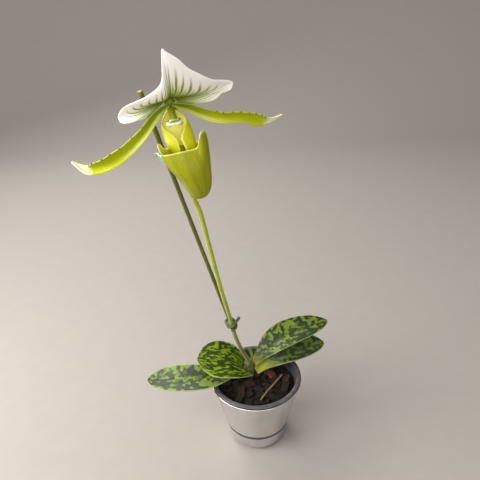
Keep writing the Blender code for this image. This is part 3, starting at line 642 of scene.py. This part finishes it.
DORSAL_EDGE = [
    (-3.6, 0.6, -2.6), (-10.2, -2.6, -1.2), (-15, -3.9, 3), (-19.8, -3.4, 5.5),
    (-24.7, -3.5, 5.5), (-28.4, -2.4, 4.5), (-28.2, 1.6, 4.5), (-24, 5.6, 6),
    (-18.6, 7.8, 8), (-12.8, 9.8, 10.5), (-7.4, 12.8, 13.5), (-3, 16.4, 16),
    (-0.8, 20.6, 18), (0.6, 27.2, 19.5), (2.3, 34.4, 20), (4.2, 32.9, 20),
    (9.1, 28, 19), (12.8, 22.5, 17.5), (18.3, 17.3, 15), (24.3, 12.2, 12),
    (29.6, 9.5, 8.5), (35, 6.4, 4.5), (35.2, 4.2, 4), (33.2, 1.7, 4.5),
    (28.9, 1.4, 5), (23.7, -1.2, 5.5), (14.8, -2.3, 2), (8, -2.4, -1.2), (3.6, 0.2, -2.6),
]


def dorsal_sepal():
    """The hooded upper sepal: it rises from a narrow base to the edge given as right, up and front."""
    edge = vectors(DORSAL_EDGE)

    def place(s, t):
        tip = point_at(edge, (t + 1) / 2)
        spread = radians(t * 72)
        base = Vector((3.7 * sin(spread), 3.4 * cos(spread) - 0.6, -2.6))
        hood = max(0, tip.y) / 34
        bend = Vector((0.66 * tip.x, 0.32 * tip.y + 0.8, 0.62 * tip.z + 1 + 6.5 * hood))
        point = (1 - s) ** 2 * base + 2 * s * (1 - s) * bend + s * s * tip
        ripple = 0.35 * sin(t * 25) * s ** 3 * (1 - hood)
        return bloom(point.x, point.y - 0.42 * hood * s * s, point.z + ripple - 0.1 * s * s)

    sheet("dorsal_sepal_blade", blade_mesh(place, 26, 120), dorsal_tissue(), "dorsal_sepal",
          ["dorsal_sepal"], SEPAL_THICK)


def synsepal(material):
    """The two lower sepals, grown together into one behind the lip."""
    line = vectors(((0, -4.6, -5.2), (-0.8, -14, -6.6), (0.6, -27, -5.4), (2.4, -39, -2)))
    widths = [(0, 2.4), (0.25, 6.6), (0.5, 7.8), (0.75, 6.6), (0.92, 3.2), (1, 0.7)]

    def place(s, t):
        centre = point_at(line, s)
        reach = value_at(widths, s)
        return bloom(centre.x + reach * t, centre.y, centre.z + 0.12 * reach * t * t)

    sheet("synsepal_blade", blade_mesh(place, 24, 12), material, "petal", ["synsepal"], SEPAL_THICK)


def petal(name, route, widths, depths, twist, material):
    """A long gutter-shaped petal; its section turns by twist degrees at the tip."""
    line = vectors(route)

    def place(s, t):
        ahead = heading(line, s, 1 / 26)
        front = Vector((0, 0, 1))
        top = front.cross(ahead).normalized()
        if top.y < 0:
            top = -top
        turn = radians(twist * value_at([(0, 0), (0.68, 0.05), (0.85, 0.6), (1, 1)], s))
        reach = value_at(widths, s)
        wave = 0.10 * sin(34 * s) * max(t, 0)
        depth = value_at(depths, s) * t * t + wave * reach
        flat = top * cos(turn) + front * sin(turn)
        deep = front * cos(turn) - top * sin(turn)
        point = point_at(line, s) + reach * t * flat + depth * deep
        return bloom(*point)

    sheet(name + "_blade", blade_mesh(place, 72, 14), material, "petal", [name], PETAL_THICK)
    return place


def beads(name, spots, material, slot):
    """Small domed beads at the given (place, radius) spots, as one piece."""
    joined = bmesh.new()
    for place, radius in spots:
        shape = Matrix.Translation(place * MM) @ Matrix.Scale(radius * MM, 4)
        bmesh.ops.create_icosphere(joined, subdivisions=2, radius=1, matrix=shape)
    add_piece(name, as_mesh(joined), material, slot)


def margin_hairs(name, place, material, seed):
    """Short bristles that stand from both margins of a petal near its base and middle."""
    draw = random.Random(seed)
    hairs = bmesh.new()
    for _ in range(PETAL_HAIRS):
        s, t = draw.uniform(0.06, 0.8), draw.choice((-0.98, 0.98))
        root = place(s, t)
        out = (root - place(s, t * 0.6)).normalized()
        sway = Vector([draw.uniform(-0.5, 0.5) for _ in range(3)])
        tip = root + (out + sway).normalized() * draw.uniform(0.5, 1.1)
        across = (tip - root).orthogonal().normalized() * 0.07
        other = (tip - root).normalized().cross(across) * 0.87
        low = root - across * 0.5
        corners = [hairs.verts.new(p * MM) for p in (root + across, low + other, low - other, tip)]
        for pick in ((0, 1, 3), (1, 2, 3), (2, 0, 3), (2, 1, 0)):
            hairs.faces.new([corners[i] for i in pick])
    add_piece(name, as_mesh(hairs), material, "petal", smooth=False)


# Each petal's warts: how far along its margin, and their radius
LEFT_WARTS = ((0.24, 0.4), (0.33, 0.45), (0.44, 0.6), (0.53, 0.5), (0.61, 0.65), (0.68, 0.5),
              (0.74, 0.6), (0.79, 0.5))
RIGHT_WARTS = ((0.36, 0.5), (0.42, 0.6), (0.5, 0.5), (0.56, 0.6), (0.62, 0.5), (0.68, 0.6),
               (0.74, 0.5), (0.78, 0.55))


def petals(material):
    """Both petals, by their route, half width and depth, with warts and bristles on their margins."""
    left = petal(
        "petal_left",
        [(-0.95, 0.4, 1.8), (-8.6, -3.6, 1.8), (-19.8, -12.4, 3), (-30.5, -18.9, 3),
         (-40.2, -23.6, 2), (-48.8, -26.8, 0.6), (-55.6, -27.6, -0.6), (-62.2, -21.8, -3)],
        [(0, 0.95), (0.15, 2.3), (0.35, 3.4), (0.55, 4.2), (0.72, 3.6), (0.88, 2.3), (1, 0.6)],
        [(0, 0.6), (0.3, 3), (0.6, 3.4), (0.85, 1), (1, 0.1)], -PETAL_TWIST_DEG, material)
    right = petal(
        "petal_right",
        [(0.95, 0.4, 1.8), (9.6, -3.6, 1.6), (18.4, -8.6, 3), (26.8, -12.2, 3),
         (37.2, -14.6, 2), (46.3, -19.2, 0.6), (54.2, -22, -0.8), (62.4, -21.9, -3)],
        [(0, 0.95), (0.15, 2.3), (0.35, 3.2), (0.55, 3), (0.74, 3.8), (0.88, 2), (1, 0.6)],
        [(0, 0.6), (0.3, 3), (0.6, 3.2), (0.85, 1), (1, 0.1)], PETAL_TWIST_DEG, material)
    warts = wart_tissue()
    for side, place, stations in (("left", left, LEFT_WARTS), ("right", right, RIGHT_WARTS)):
        beads("petal_%s_warts" % side, [(place(s, 0.97), radius) for s, radius in stations], warts, "petal")
    hair = margin_hair()
    margin_hairs("petal_left_hairs", left, hair, 21)
    margin_hairs("petal_right_hairs", right, hair, 22)


POUCH_WIDTH = [(0, 14), (0.2, 12.4), (0.45, 9.7), (0.7, 7.5), (0.88, 5.2), (0.97, 2.3), (1, 0)]
POUCH_DEPTH = [(0, 5.2), (0.12, 8), (0.3, 10), (0.5, 9.4), (0.7, 7.6), (0.88, 5), (0.97, 2.2), (1, 0)]
POUCH_DROP = [(0, 0), (0.2, 6.4), (0.45, 14.4), (0.7, 22), (0.88, 27.2), (0.97, 29.4), (1, 29.8)]
POUCH_DRIFT = [(0, 1.5), (0.25, 2.5), (0.5, 4), (0.75, 4.7), (1, 4.6)]
POUCH_MOUTH = (-20.2, 15.2)
POUCH_SWING = 4.6
# Each ear of its mouth: its height, and the angle round the mouth that it stands at
EARS = ((8.6, 1.16), (5.2, -1.72))
EAR_WIDTH = 0.5
EAR_CURL = 0.13


def pouch():
    """The slipper: a tapering bag, its mouth drawn in, with a rounded ear at each side of it."""
    mouth_u, mouth_f = POUCH_MOUTH

    def place(s, t):
        angle = t * pi
        height = sum(tall * exp(-((angle - middle) / EAR_WIDTH) ** 4) for tall, middle in EARS)
        front = 0.9 * exp(-(angle / 0.75) ** 2)
        reach = value_at(POUCH_WIDTH, s) - EAR_CURL * height * (1 - s) ** 8
        r = value_at(POUCH_DRIFT, s) + reach * sin(angle)
        f = mouth_f + POUCH_SWING * s + value_at(POUCH_DEPTH, s) * cos(angle)
        u = mouth_u - value_at(POUCH_DROP, s) + (height + front) * (1 - s) ** 5
        return bloom(r, u, f)

    mesh = blade_mesh(place, 48, 96, closed=True)
    turn_outward(mesh, [bloom(value_at(POUCH_DRIFT, s), mouth_u - value_at(POUCH_DROP, s),
                              mouth_f + POUCH_SWING * s) for s in (0, 0.25, 0.5, 0.75, 1)])
    # The pouch lining's pale yellows are partly painted light.
    sheet("lip_pouch", mesh, lip_tissue(), "lip", ["lip"], PETAL_THICK,
          lip_lining("pouch_lining_yellow", "#d6d220", "#e8e45a"))


def turn_outward(mesh, middle):
    """Turn a mesh's faces away from a line through its middle."""
    outward = 0
    for face in mesh.polygons:
        place = face.center / MM
        centre = min(middle, key=lambda point: (point - place).length)
        outward += face.area * face.normal.dot(place - centre)
    if outward < 0:
        mesh.flip_normals()


CLAW_ROUTE = ((0, -4.6, -0.6), (-0.2, -9.5, 2.4), (0.2, -14.5, 6.6), (0.9, -19.5, 9.6), (1.6, -25.5, 11.2))
CLAW_WIDTH = [(0, 3), (0.25, 7), (0.5, 7.8), (0.75, 7.6), (1, 6.6)]
CLAW_DEPTH = [(0, 0.9), (0.25, 2.8), (0.5, 5.2), (0.75, 6.2), (1, 5.6)]
CLAW_MOUTH_DEG = [(0, 104), (0.2, 82), (0.42, 26), (0.54, 8), (0.7, 9), (1, 15)]


def claw():
    """The lip's narrow base, its two side lobes rolled in until they nearly meet."""
    line = vectors(CLAW_ROUTE)

    def place(s, t):
        centre = point_at(line, s)
        angle = pi + t * (pi - radians(value_at(CLAW_MOUTH_DEG, s)))
        r = centre.x + value_at(CLAW_WIDTH, s) * sin(angle)
        f = centre.z + value_at(CLAW_DEPTH, s) * cos(angle)
        return bloom(r, centre.y, f)

    mesh = blade_mesh(place, 34, 44)
    turn_outward(mesh, [bloom(*p) for p in CLAW_ROUTE])
    # The lobe lining's pale yellows are partly painted light.
    sheet("lip_side_lobes", mesh, lobe_tissue(), "lip", ["lip"], PETAL_THICK,
          lip_lining("lobe_lining_yellow", "#f6ee3c", "#fffaa0"))


def column():
    """The short column, its shield with a pale bar, and two dark anthers at its sides."""
    route = [bloom(*p) for p in ((0, -1.9, -2.2), (0, -2.6, 0.8), (0, -4.6, 4.2), (0, -7.4, 7.6))]
    swell = [(0, 1.7), (0.33, 1.8), (0.66, 1.9), (1, 2)]
    mesh = tube_mesh(smooth_path(route, 16), lambda s: value_at(swell, s), 24)
    add_piece("column_post", mesh, column_tissue(), "column", "column")
    near, far = SHIELD_REACH

    def place(s, t):
        angle = t * radians(SHIELD_TURN_DEG)
        away = near + (far - near) * s
        bow = 1 - SHIELD_BOW * max(0, -cos(angle))
        r = away * sin(angle) * SHIELD_WIDE
        u = SHIELD_U + away * cos(angle) * bow * SHIELD_HIGH
        return bloom(r, u, SHIELD_F + SHIELD_DISH * s * s * cos(2 * angle))

    sheet("column_shield", blade_mesh(place, 14, 44), shield_tissue(), "column", [], SHIELD_THICK)
    beads("column_anthers", [(bloom(-3.1, -6.5, 8.1), 0.6), (bloom(3, -6.2, 8.1), 0.55)],
          anther_tissue(), "column")
    beads("flower_centre", [(bloom(0, 0.5, -1.8), 3.1)], column_tissue(), "column")


def tube_mesh(path, radius_at, sides):
    """A round tube along a path, its ends closed."""
    tube = bmesh.new()
    rings = []
    side = Vector((1, 0, 0))
    for index, point in enumerate(path):
        ahead = (path[min(index + 1, len(path) - 1)] - path[max(index - 1, 0)]).normalized()
        side = (side - ahead * side.dot(ahead)).normalized()
        other = ahead.cross(side)
        reach = radius_at(index / (len(path) - 1))
        rings.append([tube.verts.new((point + reach * (cos(a) * side + sin(a) * other)) * MM)
                      for a in (2 * pi * k / sides for k in range(sides))])
    for low, high in zip(rings, rings[1:]):
        for k in range(sides):
            n = (k + 1) % sides
            tube.faces.new((low[k], low[n], high[n], high[k]))
    tube.faces.new(rings[0][::-1])
    tube.faces.new(rings[-1])
    return as_mesh(tube)


SCAPE_ROUTE = [
    (-6.9, 9.8, 80.5), (-7.3, 9.2, 83.5), (-9, 6.4, 89.5), (-12.2, 3.2, 99), (-17.5, -1.7, 120.7),
    (-20.8, -7.4, 144.1), (-26.2, -20.5, 182.8), (-31.4, -35.4, 228), (-35.1, -44.7, 259.1),
    (-38.9, -49.4, 274), (-42.7, -53.4, 288.1), (-44.9, -58.5, 305),
]
OVARY_ROUTE = [(-0.6, -21, -12.2), (-0.4, -12, -12.4), (-0.2, -5.2, -10.6), (0, -1.6, -6.6),
               (0, -0.7, -3.2)]


def scape_path(count):
    return smooth_path(vectors(SCAPE_ROUTE) + [bloom(*p) for p in OVARY_ROUTE], count)


def scape(material):
    """The flower stem, which swells into the ovary below the flower."""
    swell = [(0, 1.25), (0.12, 1.05), (0.5, 1), (0.72, 1), (0.86, 1.38), (0.95, 1.42), (1, 1.15)]
    mesh = tube_mesh(scape_path(170), lambda s: SCAPE_RADIUS * value_at(swell, s), 20)
    return add_piece("flower_stem", mesh, material, "stem", "scape")


def twist_tie():
    """Soft wire wound once and a half round the cane and the stem, with a stub left standing."""
    stem = min(scape_path(46), key=lambda point: abs(point.z - TIE_Z))
    stick = CANE_LOW.lerp(CANE_TOP, (TIE_Z - CANE_LOW.z) / (CANE_TOP.z - CANE_LOW.z))
    across = stem - stick
    across = (across - CANE_WAY * across.dot(CANE_WAY)).normalized()
    side = CANE_WAY.cross(across)
    away = SCAPE_RADIUS + TIE_WIRE + TIE_ROOM
    knots = []
    for index in range(TIE_STEPS + 1):
        share = index / TIE_STEPS
        angle = radians(TIE_START_DEG + TIE_TURN_DEG * share)
        hold = stem if cos(angle) > 0 else stick
        reach = away * (cos(angle) * across + sin(angle) * side)
        knots.append(hold + reach + CANE_WAY * TIE_RISE * (share - 0.5))
    last = knots[-1]
    knots += smooth_path([last] + [last + move for move in vectors(TIE_STUB)], 12)[1:]
    mesh = tube_mesh(knots, lambda s: TIE_WIRE * (1 + 0.05 * sin(150 * s)), 14)
    add_piece("twist_tie_wire", mesh, tie_plastic(), "tie_plastic", "twist_tie")


def floral_bract(material):
    """A short green sheath that clasps the back of the stem under the ovary."""
    line = [p for p in scape_path(46) if BRACT_LOW_Z < p.z < BRACT_HIGH_Z]

    def place(s, t):
        angle = t * radians(value_at(BRACT_REACH_DEG, s))
        back = -FACING * cos(angle) + RIGHT * sin(angle)
        return point_at(line, s) + value_at(BRACT_AWAY, s) * back

    sheet("floral_bract_blade", blade_mesh(place, 20, 24), material, "stem", ["floral_bract"], BRACT_THICK)


def crown(material):
    """The short stem that the leaves clasp, ringed by the scars of older leaves."""
    low, high = CROWN_RADII
    path = [CROWN_LOW.lerp(CROWN_HIGH, i / 40) for i in range(41)]
    mesh = tube_mesh(path, lambda s: low + (high - low) * s - 0.18 * (1 + sin(40 * s)), 28)
    add_piece("crown_stem", mesh, material, "stem", "crown")


def dry_stick():
    """A dead root that lies across the bark, uneven along its length."""
    draw = random.Random(12)
    uneven = [draw.uniform(0.86, 1) for _ in range(33)]
    path = smooth_path(vectors(STRAW_ROUTE), 33)
    mesh = tube_mesh(path, lambda s: STRAW_RADIUS * uneven[round(s * 32)], 10)
    add_piece("dry_root", mesh, dry_straw(), "dry_straw", "dry_stick")


def stem_hairs(stem, material):
    """Fine down on the flower stem, grown from the stem's own surface."""
    hair = bmesh.new()
    bmesh.ops.create_cone(hair, cap_ends=False, segments=3, radius1=0.05, radius2=0, depth=1,
                          matrix=Matrix.Translation((0, 0, 0.5)))
    cone = bpy.data.objects.new("hair_source", as_mesh(hair))
    scattered("flower_stem_hairs", stem.data.copy(), (cone, 0.0008, 0.0004, 0.0009, 6), 0.5,
              material, "stem", aligned=True)
    bpy.data.objects.remove(cone)


def cane():
    """The dyed cane, a little uneven along its length, and its pale sawn end."""
    draw = random.Random(3)
    steps = 90
    bumps = [1 + draw.uniform(-0.035, 0.02) for _ in range(steps + 1)]
    path = [CANE_LOW.lerp(CANE_TOP, i / steps) for i in range(steps + 1)]
    path[0] = CANE_LOW - CANE_WAY * 6
    mesh = tube_mesh(path, lambda s: CANE_RADIUS * bumps[round(s * steps)], 14)
    add_piece("cane_shaft", mesh, dyed_bamboo(), "cane", "cane")
    ends = [CANE_TOP - CANE_WAY * 0.05, CANE_TOP + CANE_WAY * 0.12]
    add_piece("cane_end", tube_mesh(ends, lambda s: CANE_RADIUS * 0.93, 14), cut_bamboo(), "cane")


def turned_mesh(profile):
    """A mesh turned from a profile (radius, height) that runs down its outer side."""
    lathe = bmesh.new()
    points = [lathe.verts.new((r * MM, 0, z * MM)) for r, z in profile]
    edges = [lathe.edges.new(pair) for pair in zip(points, points[1:])]
    bmesh.ops.spin(lathe, geom=points + edges, axis=(0, 0, 1), angle=2 * pi, steps=TURN_STEPS,
                   use_merge=True)
    bmesh.ops.remove_doubles(lathe, verts=lathe.verts, dist=0.000004)
    bmesh.ops.recalc_face_normals(lathe, faces=lathe.faces)
    return as_mesh(lathe)


def rounded(profile, radius):
    """The profile with each inner corner replaced by a short arc of about the given radius."""
    points = [Vector((r, z)) for r, z in profile]
    result = [points[0]]
    for before, corner, after in zip(points, points[1:], points[2:]):
        back, ahead = before - corner, after - corner
        cut = min(radius, back.length * 0.45, ahead.length * 0.45)
        first, last = corner + back.normalized() * cut, corner + ahead.normalized() * cut
        for k in range(4):
            f = k / 3
            result.append((1 - f) ** 2 * first + 2 * f * (1 - f) * corner + f * f * last)
    result.append(points[-1])
    return [(p.x, p.y) for p in result]


def body_radius(z):
    """The cachepot's outer radius at a height; its body is a cone."""
    share = (z - LOW_Z) / (POT_TOP_Z - LOW_Z)
    return LOW_RADIUS + share * (TOP_RADIUS - LOW_RADIUS)


def pots():
    """The silvered pot with its stepped foot and beaded top, and the liner with its rolled rim."""
    low, top, bead = LOW_RADIUS, TOP_RADIUS, TOP_RADIUS + BEAD
    neck = POT_TOP_Z - 1.8
    silver = [
        (0, FOOT_HEIGHT + 1), (low - 3.6, FOOT_HEIGHT + 1), (low - 1, LOW_Z + 0.6),
        (top - 1, POT_TOP_Z), (bead, POT_TOP_Z), (bead, POT_TOP_Z - 1.2),
        (body_radius(neck), neck), (low, LOW_Z), (low - 1, LOW_Z - 2),
        (low - 2.8, FOOT_HEIGHT + 0.4), (FOOT_RADIUS + 0.6, FOOT_HEIGHT), (FOOT_RADIUS, 0), (0, 0),
    ]
    add_piece("cachepot_shell", turned_mesh(rounded(silver, 1.1)), silvered_plastic(),
              "silvered_plastic", "cachepot")
    inner = RIM_RADIUS - RIM_WIDTH
    under = POT_TOP_Z + 0.35
    dark = [
        (0, LINER_Z + 1), (LINER_RADIUS - 1, LINER_Z + 1), (inner - 0.4, RIM_TOP_Z - 1.2),
        (inner + 0.3, RIM_TOP_Z - 0.1), (inner + 1.6, RIM_TOP_Z), (RIM_RADIUS - 0.6, RIM_TOP_Z - 0.2),
        (RIM_RADIUS, RIM_TOP_Z - 0.9), (RIM_RADIUS - 0.1, under), (body_radius(under) - 1.6, under),
        (LINER_RADIUS, LINER_Z), (0, LINER_Z),
    ]
    add_piece("nursery_pot_shell", turned_mesh(rounded(dark, 0.6)), dark_plastic(),
              "dark_plastic", "nursery_pot")


# For each axis of a chip: its share of the length, and the range of its dents
CHIP_AXES = ((1, -0.22, 0.1), (0.62, -0.3, 0.1), (0.34, -0.4, 0.3))


def chip_source():
    """One rough chip, bevelled and dented, kept out of the scene as the source of the copies."""
    draw = random.Random(5)
    chip = bmesh.new()
    bmesh.ops.create_cube(chip, size=1)
    bmesh.ops.bevel(chip, geom=chip.edges[:], offset=0.12, segments=1, profile=0.5, affect="EDGES")
    for vert in chip.verts:
        for axis, (share, low, high) in enumerate(CHIP_AXES):
            vert.co[axis] *= share * (1 + draw.uniform(low, high))
    return bpy.data.objects.new("chip_source", as_mesh(chip))


# The inputs that every scatter tree takes beside its surface
SCATTER_INPUTS = {"Source": "Object", "Spacing": "Float", "Small": "Float", "Large": "Float", "Seed": "Int"}


def scatter_tree(name, material, most_turn, aligned):
    """Geometry nodes: copies of a source on a surface, turned and sized at random, then realised.

    Aligned copies stand along the surface's normal before they are turned.
    """
    tree = bpy.data.node_groups.new(name, "GeometryNodeTree")
    for label, kind in {"Geometry": "Geometry", **SCATTER_INPUTS}.items():
        tree.interface.new_socket(label, in_out="INPUT", socket_type="NodeSocket" + kind)
    tree.interface.new_socket("Geometry", in_out="OUTPUT", socket_type="NodeSocketGeometry")
    given = add(tree, "NodeGroupInput").outputs
    points = add(tree, "GeometryNodeDistributePointsOnFaces", {
        "Mesh": given["Geometry"], "Distance Min": given["Spacing"], "Density Max": MOST_POINTS,
        "Seed": given["Seed"]}, distribute_method="POISSON")
    source = add(tree, "GeometryNodeObjectInfo", {"Object": given["Source"]})
    turn = add(tree, "FunctionNodeRandomValue", {
        0: (-most_turn, -most_turn, 0), 1: (most_turn, most_turn, 6.283), "Seed": given["Seed"]},
        data_type="FLOAT_VECTOR")
    size = add(tree, "FunctionNodeRandomValue", {
        2: given["Small"], 3: given["Large"], "Seed": given["Seed"]}, data_type="FLOAT")
    stance = turn.outputs[0]
    if aligned:
        stance = add(tree, "FunctionNodeRotateRotation", {0: points.outputs["Rotation"], 1: stance},
                     rotation_space="LOCAL").outputs[0]
    copies = add(tree, "GeometryNodeInstanceOnPoints", {
        "Points": points.outputs["Points"], "Instance": source.outputs["Geometry"],
        "Rotation": stance, "Scale": size.outputs[1]})
    solid = add(tree, "GeometryNodeRealizeInstances", {0: copies.outputs[0]})
    coloured = add(tree, "GeometryNodeSetMaterial", {0: solid.outputs[0], "Material": material})
    add(tree, "NodeGroupOutput", {0: coloured.outputs[0]})
    return tree


def scattered(name, surface_mesh, given, most_turn, material, slot, aligned=False):
    """Run a scatter tree on a surface and keep the result as a plain mesh piece.

    given holds the tree's source, spacing, smallest and largest size in metres, and seed.
    """
    tree = scatter_tree(name, material, most_turn, aligned)
    values = dict(zip(SCATTER_INPUTS, given))
    holder = linked(name + "_bed", surface_mesh)
    spread = holder.modifiers.new("scatter", "NODES")
    spread.node_group = tree
    for socket in tree.interface.items_tree:
        if socket.in_out == "INPUT" and socket.name in values:
            spread[socket.identifier] = values[socket.name]
    bpy.context.view_layer.update()
    graph = bpy.context.evaluated_depsgraph_get()
    mesh = bpy.data.meshes.new_from_object(holder.evaluated_get(graph))
    bpy.data.objects.remove(holder)
    add_piece(name, mesh, material, slot, smooth=False)


def medium_bed(radius, z, relief, seed):
    """A round bed, gently uneven, that the bark lies on."""
    draw = random.Random(seed)
    bed = bmesh.new()
    bmesh.ops.create_grid(bed, x_segments=40, y_segments=40, size=radius * MM)
    outside = [v for v in bed.verts if v.co.length > radius * MM]
    bmesh.ops.delete(bed, geom=outside, context="VERTS")
    for vert in bed.verts:
        vert.co.z = (z + draw.uniform(-relief, relief)) * MM
    return as_mesh(bed)


def growing_medium():
    """Fine dark crumbs over a solid bed, with larger chips of bark lying in them."""
    dark = bark("bark_crumb_dark", ("#0e0905", "#150d08", "#20140d", "#2e1f15"), (0.4, 0.72, 0.93))
    chips = bark("bark_chip_mixed", ("#150d08", "#20140c", "#382215", "#5f4c45", "#6d4023"),
                 (0.4, 0.68, 0.88, 0.94))
    source = chip_source()
    filler = turned_mesh([(0, BED_Z - 1), (BED_RADIUS - 0.4, BED_Z - 1),
                          (BED_RADIUS - 1.2, BED_Z - 6), (0, BED_Z - 6)])
    add_piece("medium_bed", filler, dark, "bark_medium", "growing_medium")
    scattered("medium_crumbs", medium_bed(BED_RADIUS - 1.6, BED_Z - 0.6, 0.5, 4),
              (source, 0.0014, 0.0016, 0.0042, 8), 0.9, dark, "bark_medium")
    scattered("medium_chips", medium_bed(BED_RADIUS - 5.5, BED_Z + 0.2, 0.6, 9),
              (source, 0.0078, 0.005, 0.0152, 3), 0.45, chips, "bark_medium")
    bpy.data.objects.remove(source)


def clip_finish():
    """The clip keeps the CAD node's own mesh and takes a better material."""
    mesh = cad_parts["stem_clip"].data
    mesh.materials.clear()
    mesh.materials.append(clip_plastic())


# Each lamp: name, place, width, height, power and the point that it is aimed at
LAMPS = (
    ("key", (-1.3, -1.6, 2.3), 1.9, 1.9, 53, (-0.02, -0.03, 0.2)),
    ("fill", (0.3, -1.6, 0.5), 1.3, 1, 8, (-0.04, -0.05, 0.25)),
    ("back", (-0.5, 0.8, 0.9), 0.7, 0.7, 11, (-0.04, -0.05, 0.3)),
    ("low", (-0.62, -0.15, 0.42), 0.45, 0.45, 6, (-0.28, -0.03, 0)),
)
LAMP_TINT = (1, 0.985, 0.965)
ROOM_LIGHT = 0.7
SWEEP_BEND = 0.8
SWEEP_FLAT = 0.45
SWEEP_TURN = 0.35


def stage_and_light():
    """A pale floor that curves up behind, a soft room, and the lamps."""
    p = Paint("matt_paper_warm_grey", 0.95, 0.1)
    p.link(p.blend(p.noise(p.place(), 60, 2), "#96908b", "#9b9590"), "Base Color")
    sweep = bmesh.new()
    bmesh.ops.create_grid(sweep, x_segments=4, y_segments=60, size=0.5)
    for vert in sweep.verts:
        run = vert.co.y + 0.5
        angle = max(0, min(1, (run - SWEEP_FLAT) / SWEEP_TURN)) * pi / 2
        y = -7 + 8 * min(run / SWEEP_FLAT, 1) + SWEEP_BEND * sin(angle)
        z = SWEEP_BEND * (1 - cos(angle)) + max(0, run - SWEEP_FLAT - SWEEP_TURN) * 12
        vert.co = (vert.co.x * 18, y, z)
    mesh = as_mesh(sweep)
    mesh.materials.append(p.material)
    mesh.shade_smooth()
    linked("studio_sweep", mesh)
    world = bpy.data.worlds.new("soft_room")
    bpy.context.scene.world = world
    world.use_nodes = True
    background = world.node_tree.nodes["Background"].inputs
    background[0].default_value = linear("#e4e1df")
    background[1].default_value = ROOM_LIGHT
    bpy.context.scene.view_settings.view_transform = "Standard"
    for name, place, wide, tall, power, aim in LAMPS:
        lamp = bpy.data.lights.new(name, "AREA")
        lamp.shape = "RECTANGLE"
        lamp.size, lamp.size_y = wide, tall
        lamp.energy = power
        lamp.color = LAMP_TINT
        light = linked(name, lamp)
        light.location = place
        light.rotation_euler = (Vector(aim) - Vector(place)).to_track_quat("-Z", "Y").to_euler()


def camera():
    """The photograph's own camera, as fitted to it, leaning a little to one side."""
    down, lean = radians(CAMERA_DOWN_DEG), radians(CAMERA_LEAN_DEG)
    ahead = Vector((0, cos(down), -sin(down)))
    level = Vector((1, 0, 0))
    upright = level.cross(ahead)
    right = cos(lean) * level - sin(lean) * upright
    up = sin(lean) * level + cos(lean) * upright
    data = bpy.data.cameras.new("camera")
    data.lens = CAMERA_LENS
    data.clip_start = 0.01
    eye = linked("camera", data)
    turn = Matrix((right, up, -ahead)).transposed().to_4x4()
    eye.matrix_world = Matrix.Translation(CAMERA_PLACE * MM) @ turn
    bpy.context.scene.camera = eye


camera()
stage_and_light()
pots()
growing_medium()
dry_stick()
leaves()
stem_material = stem_tissue("stem_tissue_downy")
crown(stem_tissue("crown_tissue", "#3a4512", "#56611c"))
stem_hairs(scape(stem_material), margin_hair())
floral_bract(stem_material)
cane()
twist_tie()
clip_finish()
petal_material = petal_tissue()
dorsal_sepal()
synsepal(petal_material)
petals(petal_material)
pouch()
claw()
column()
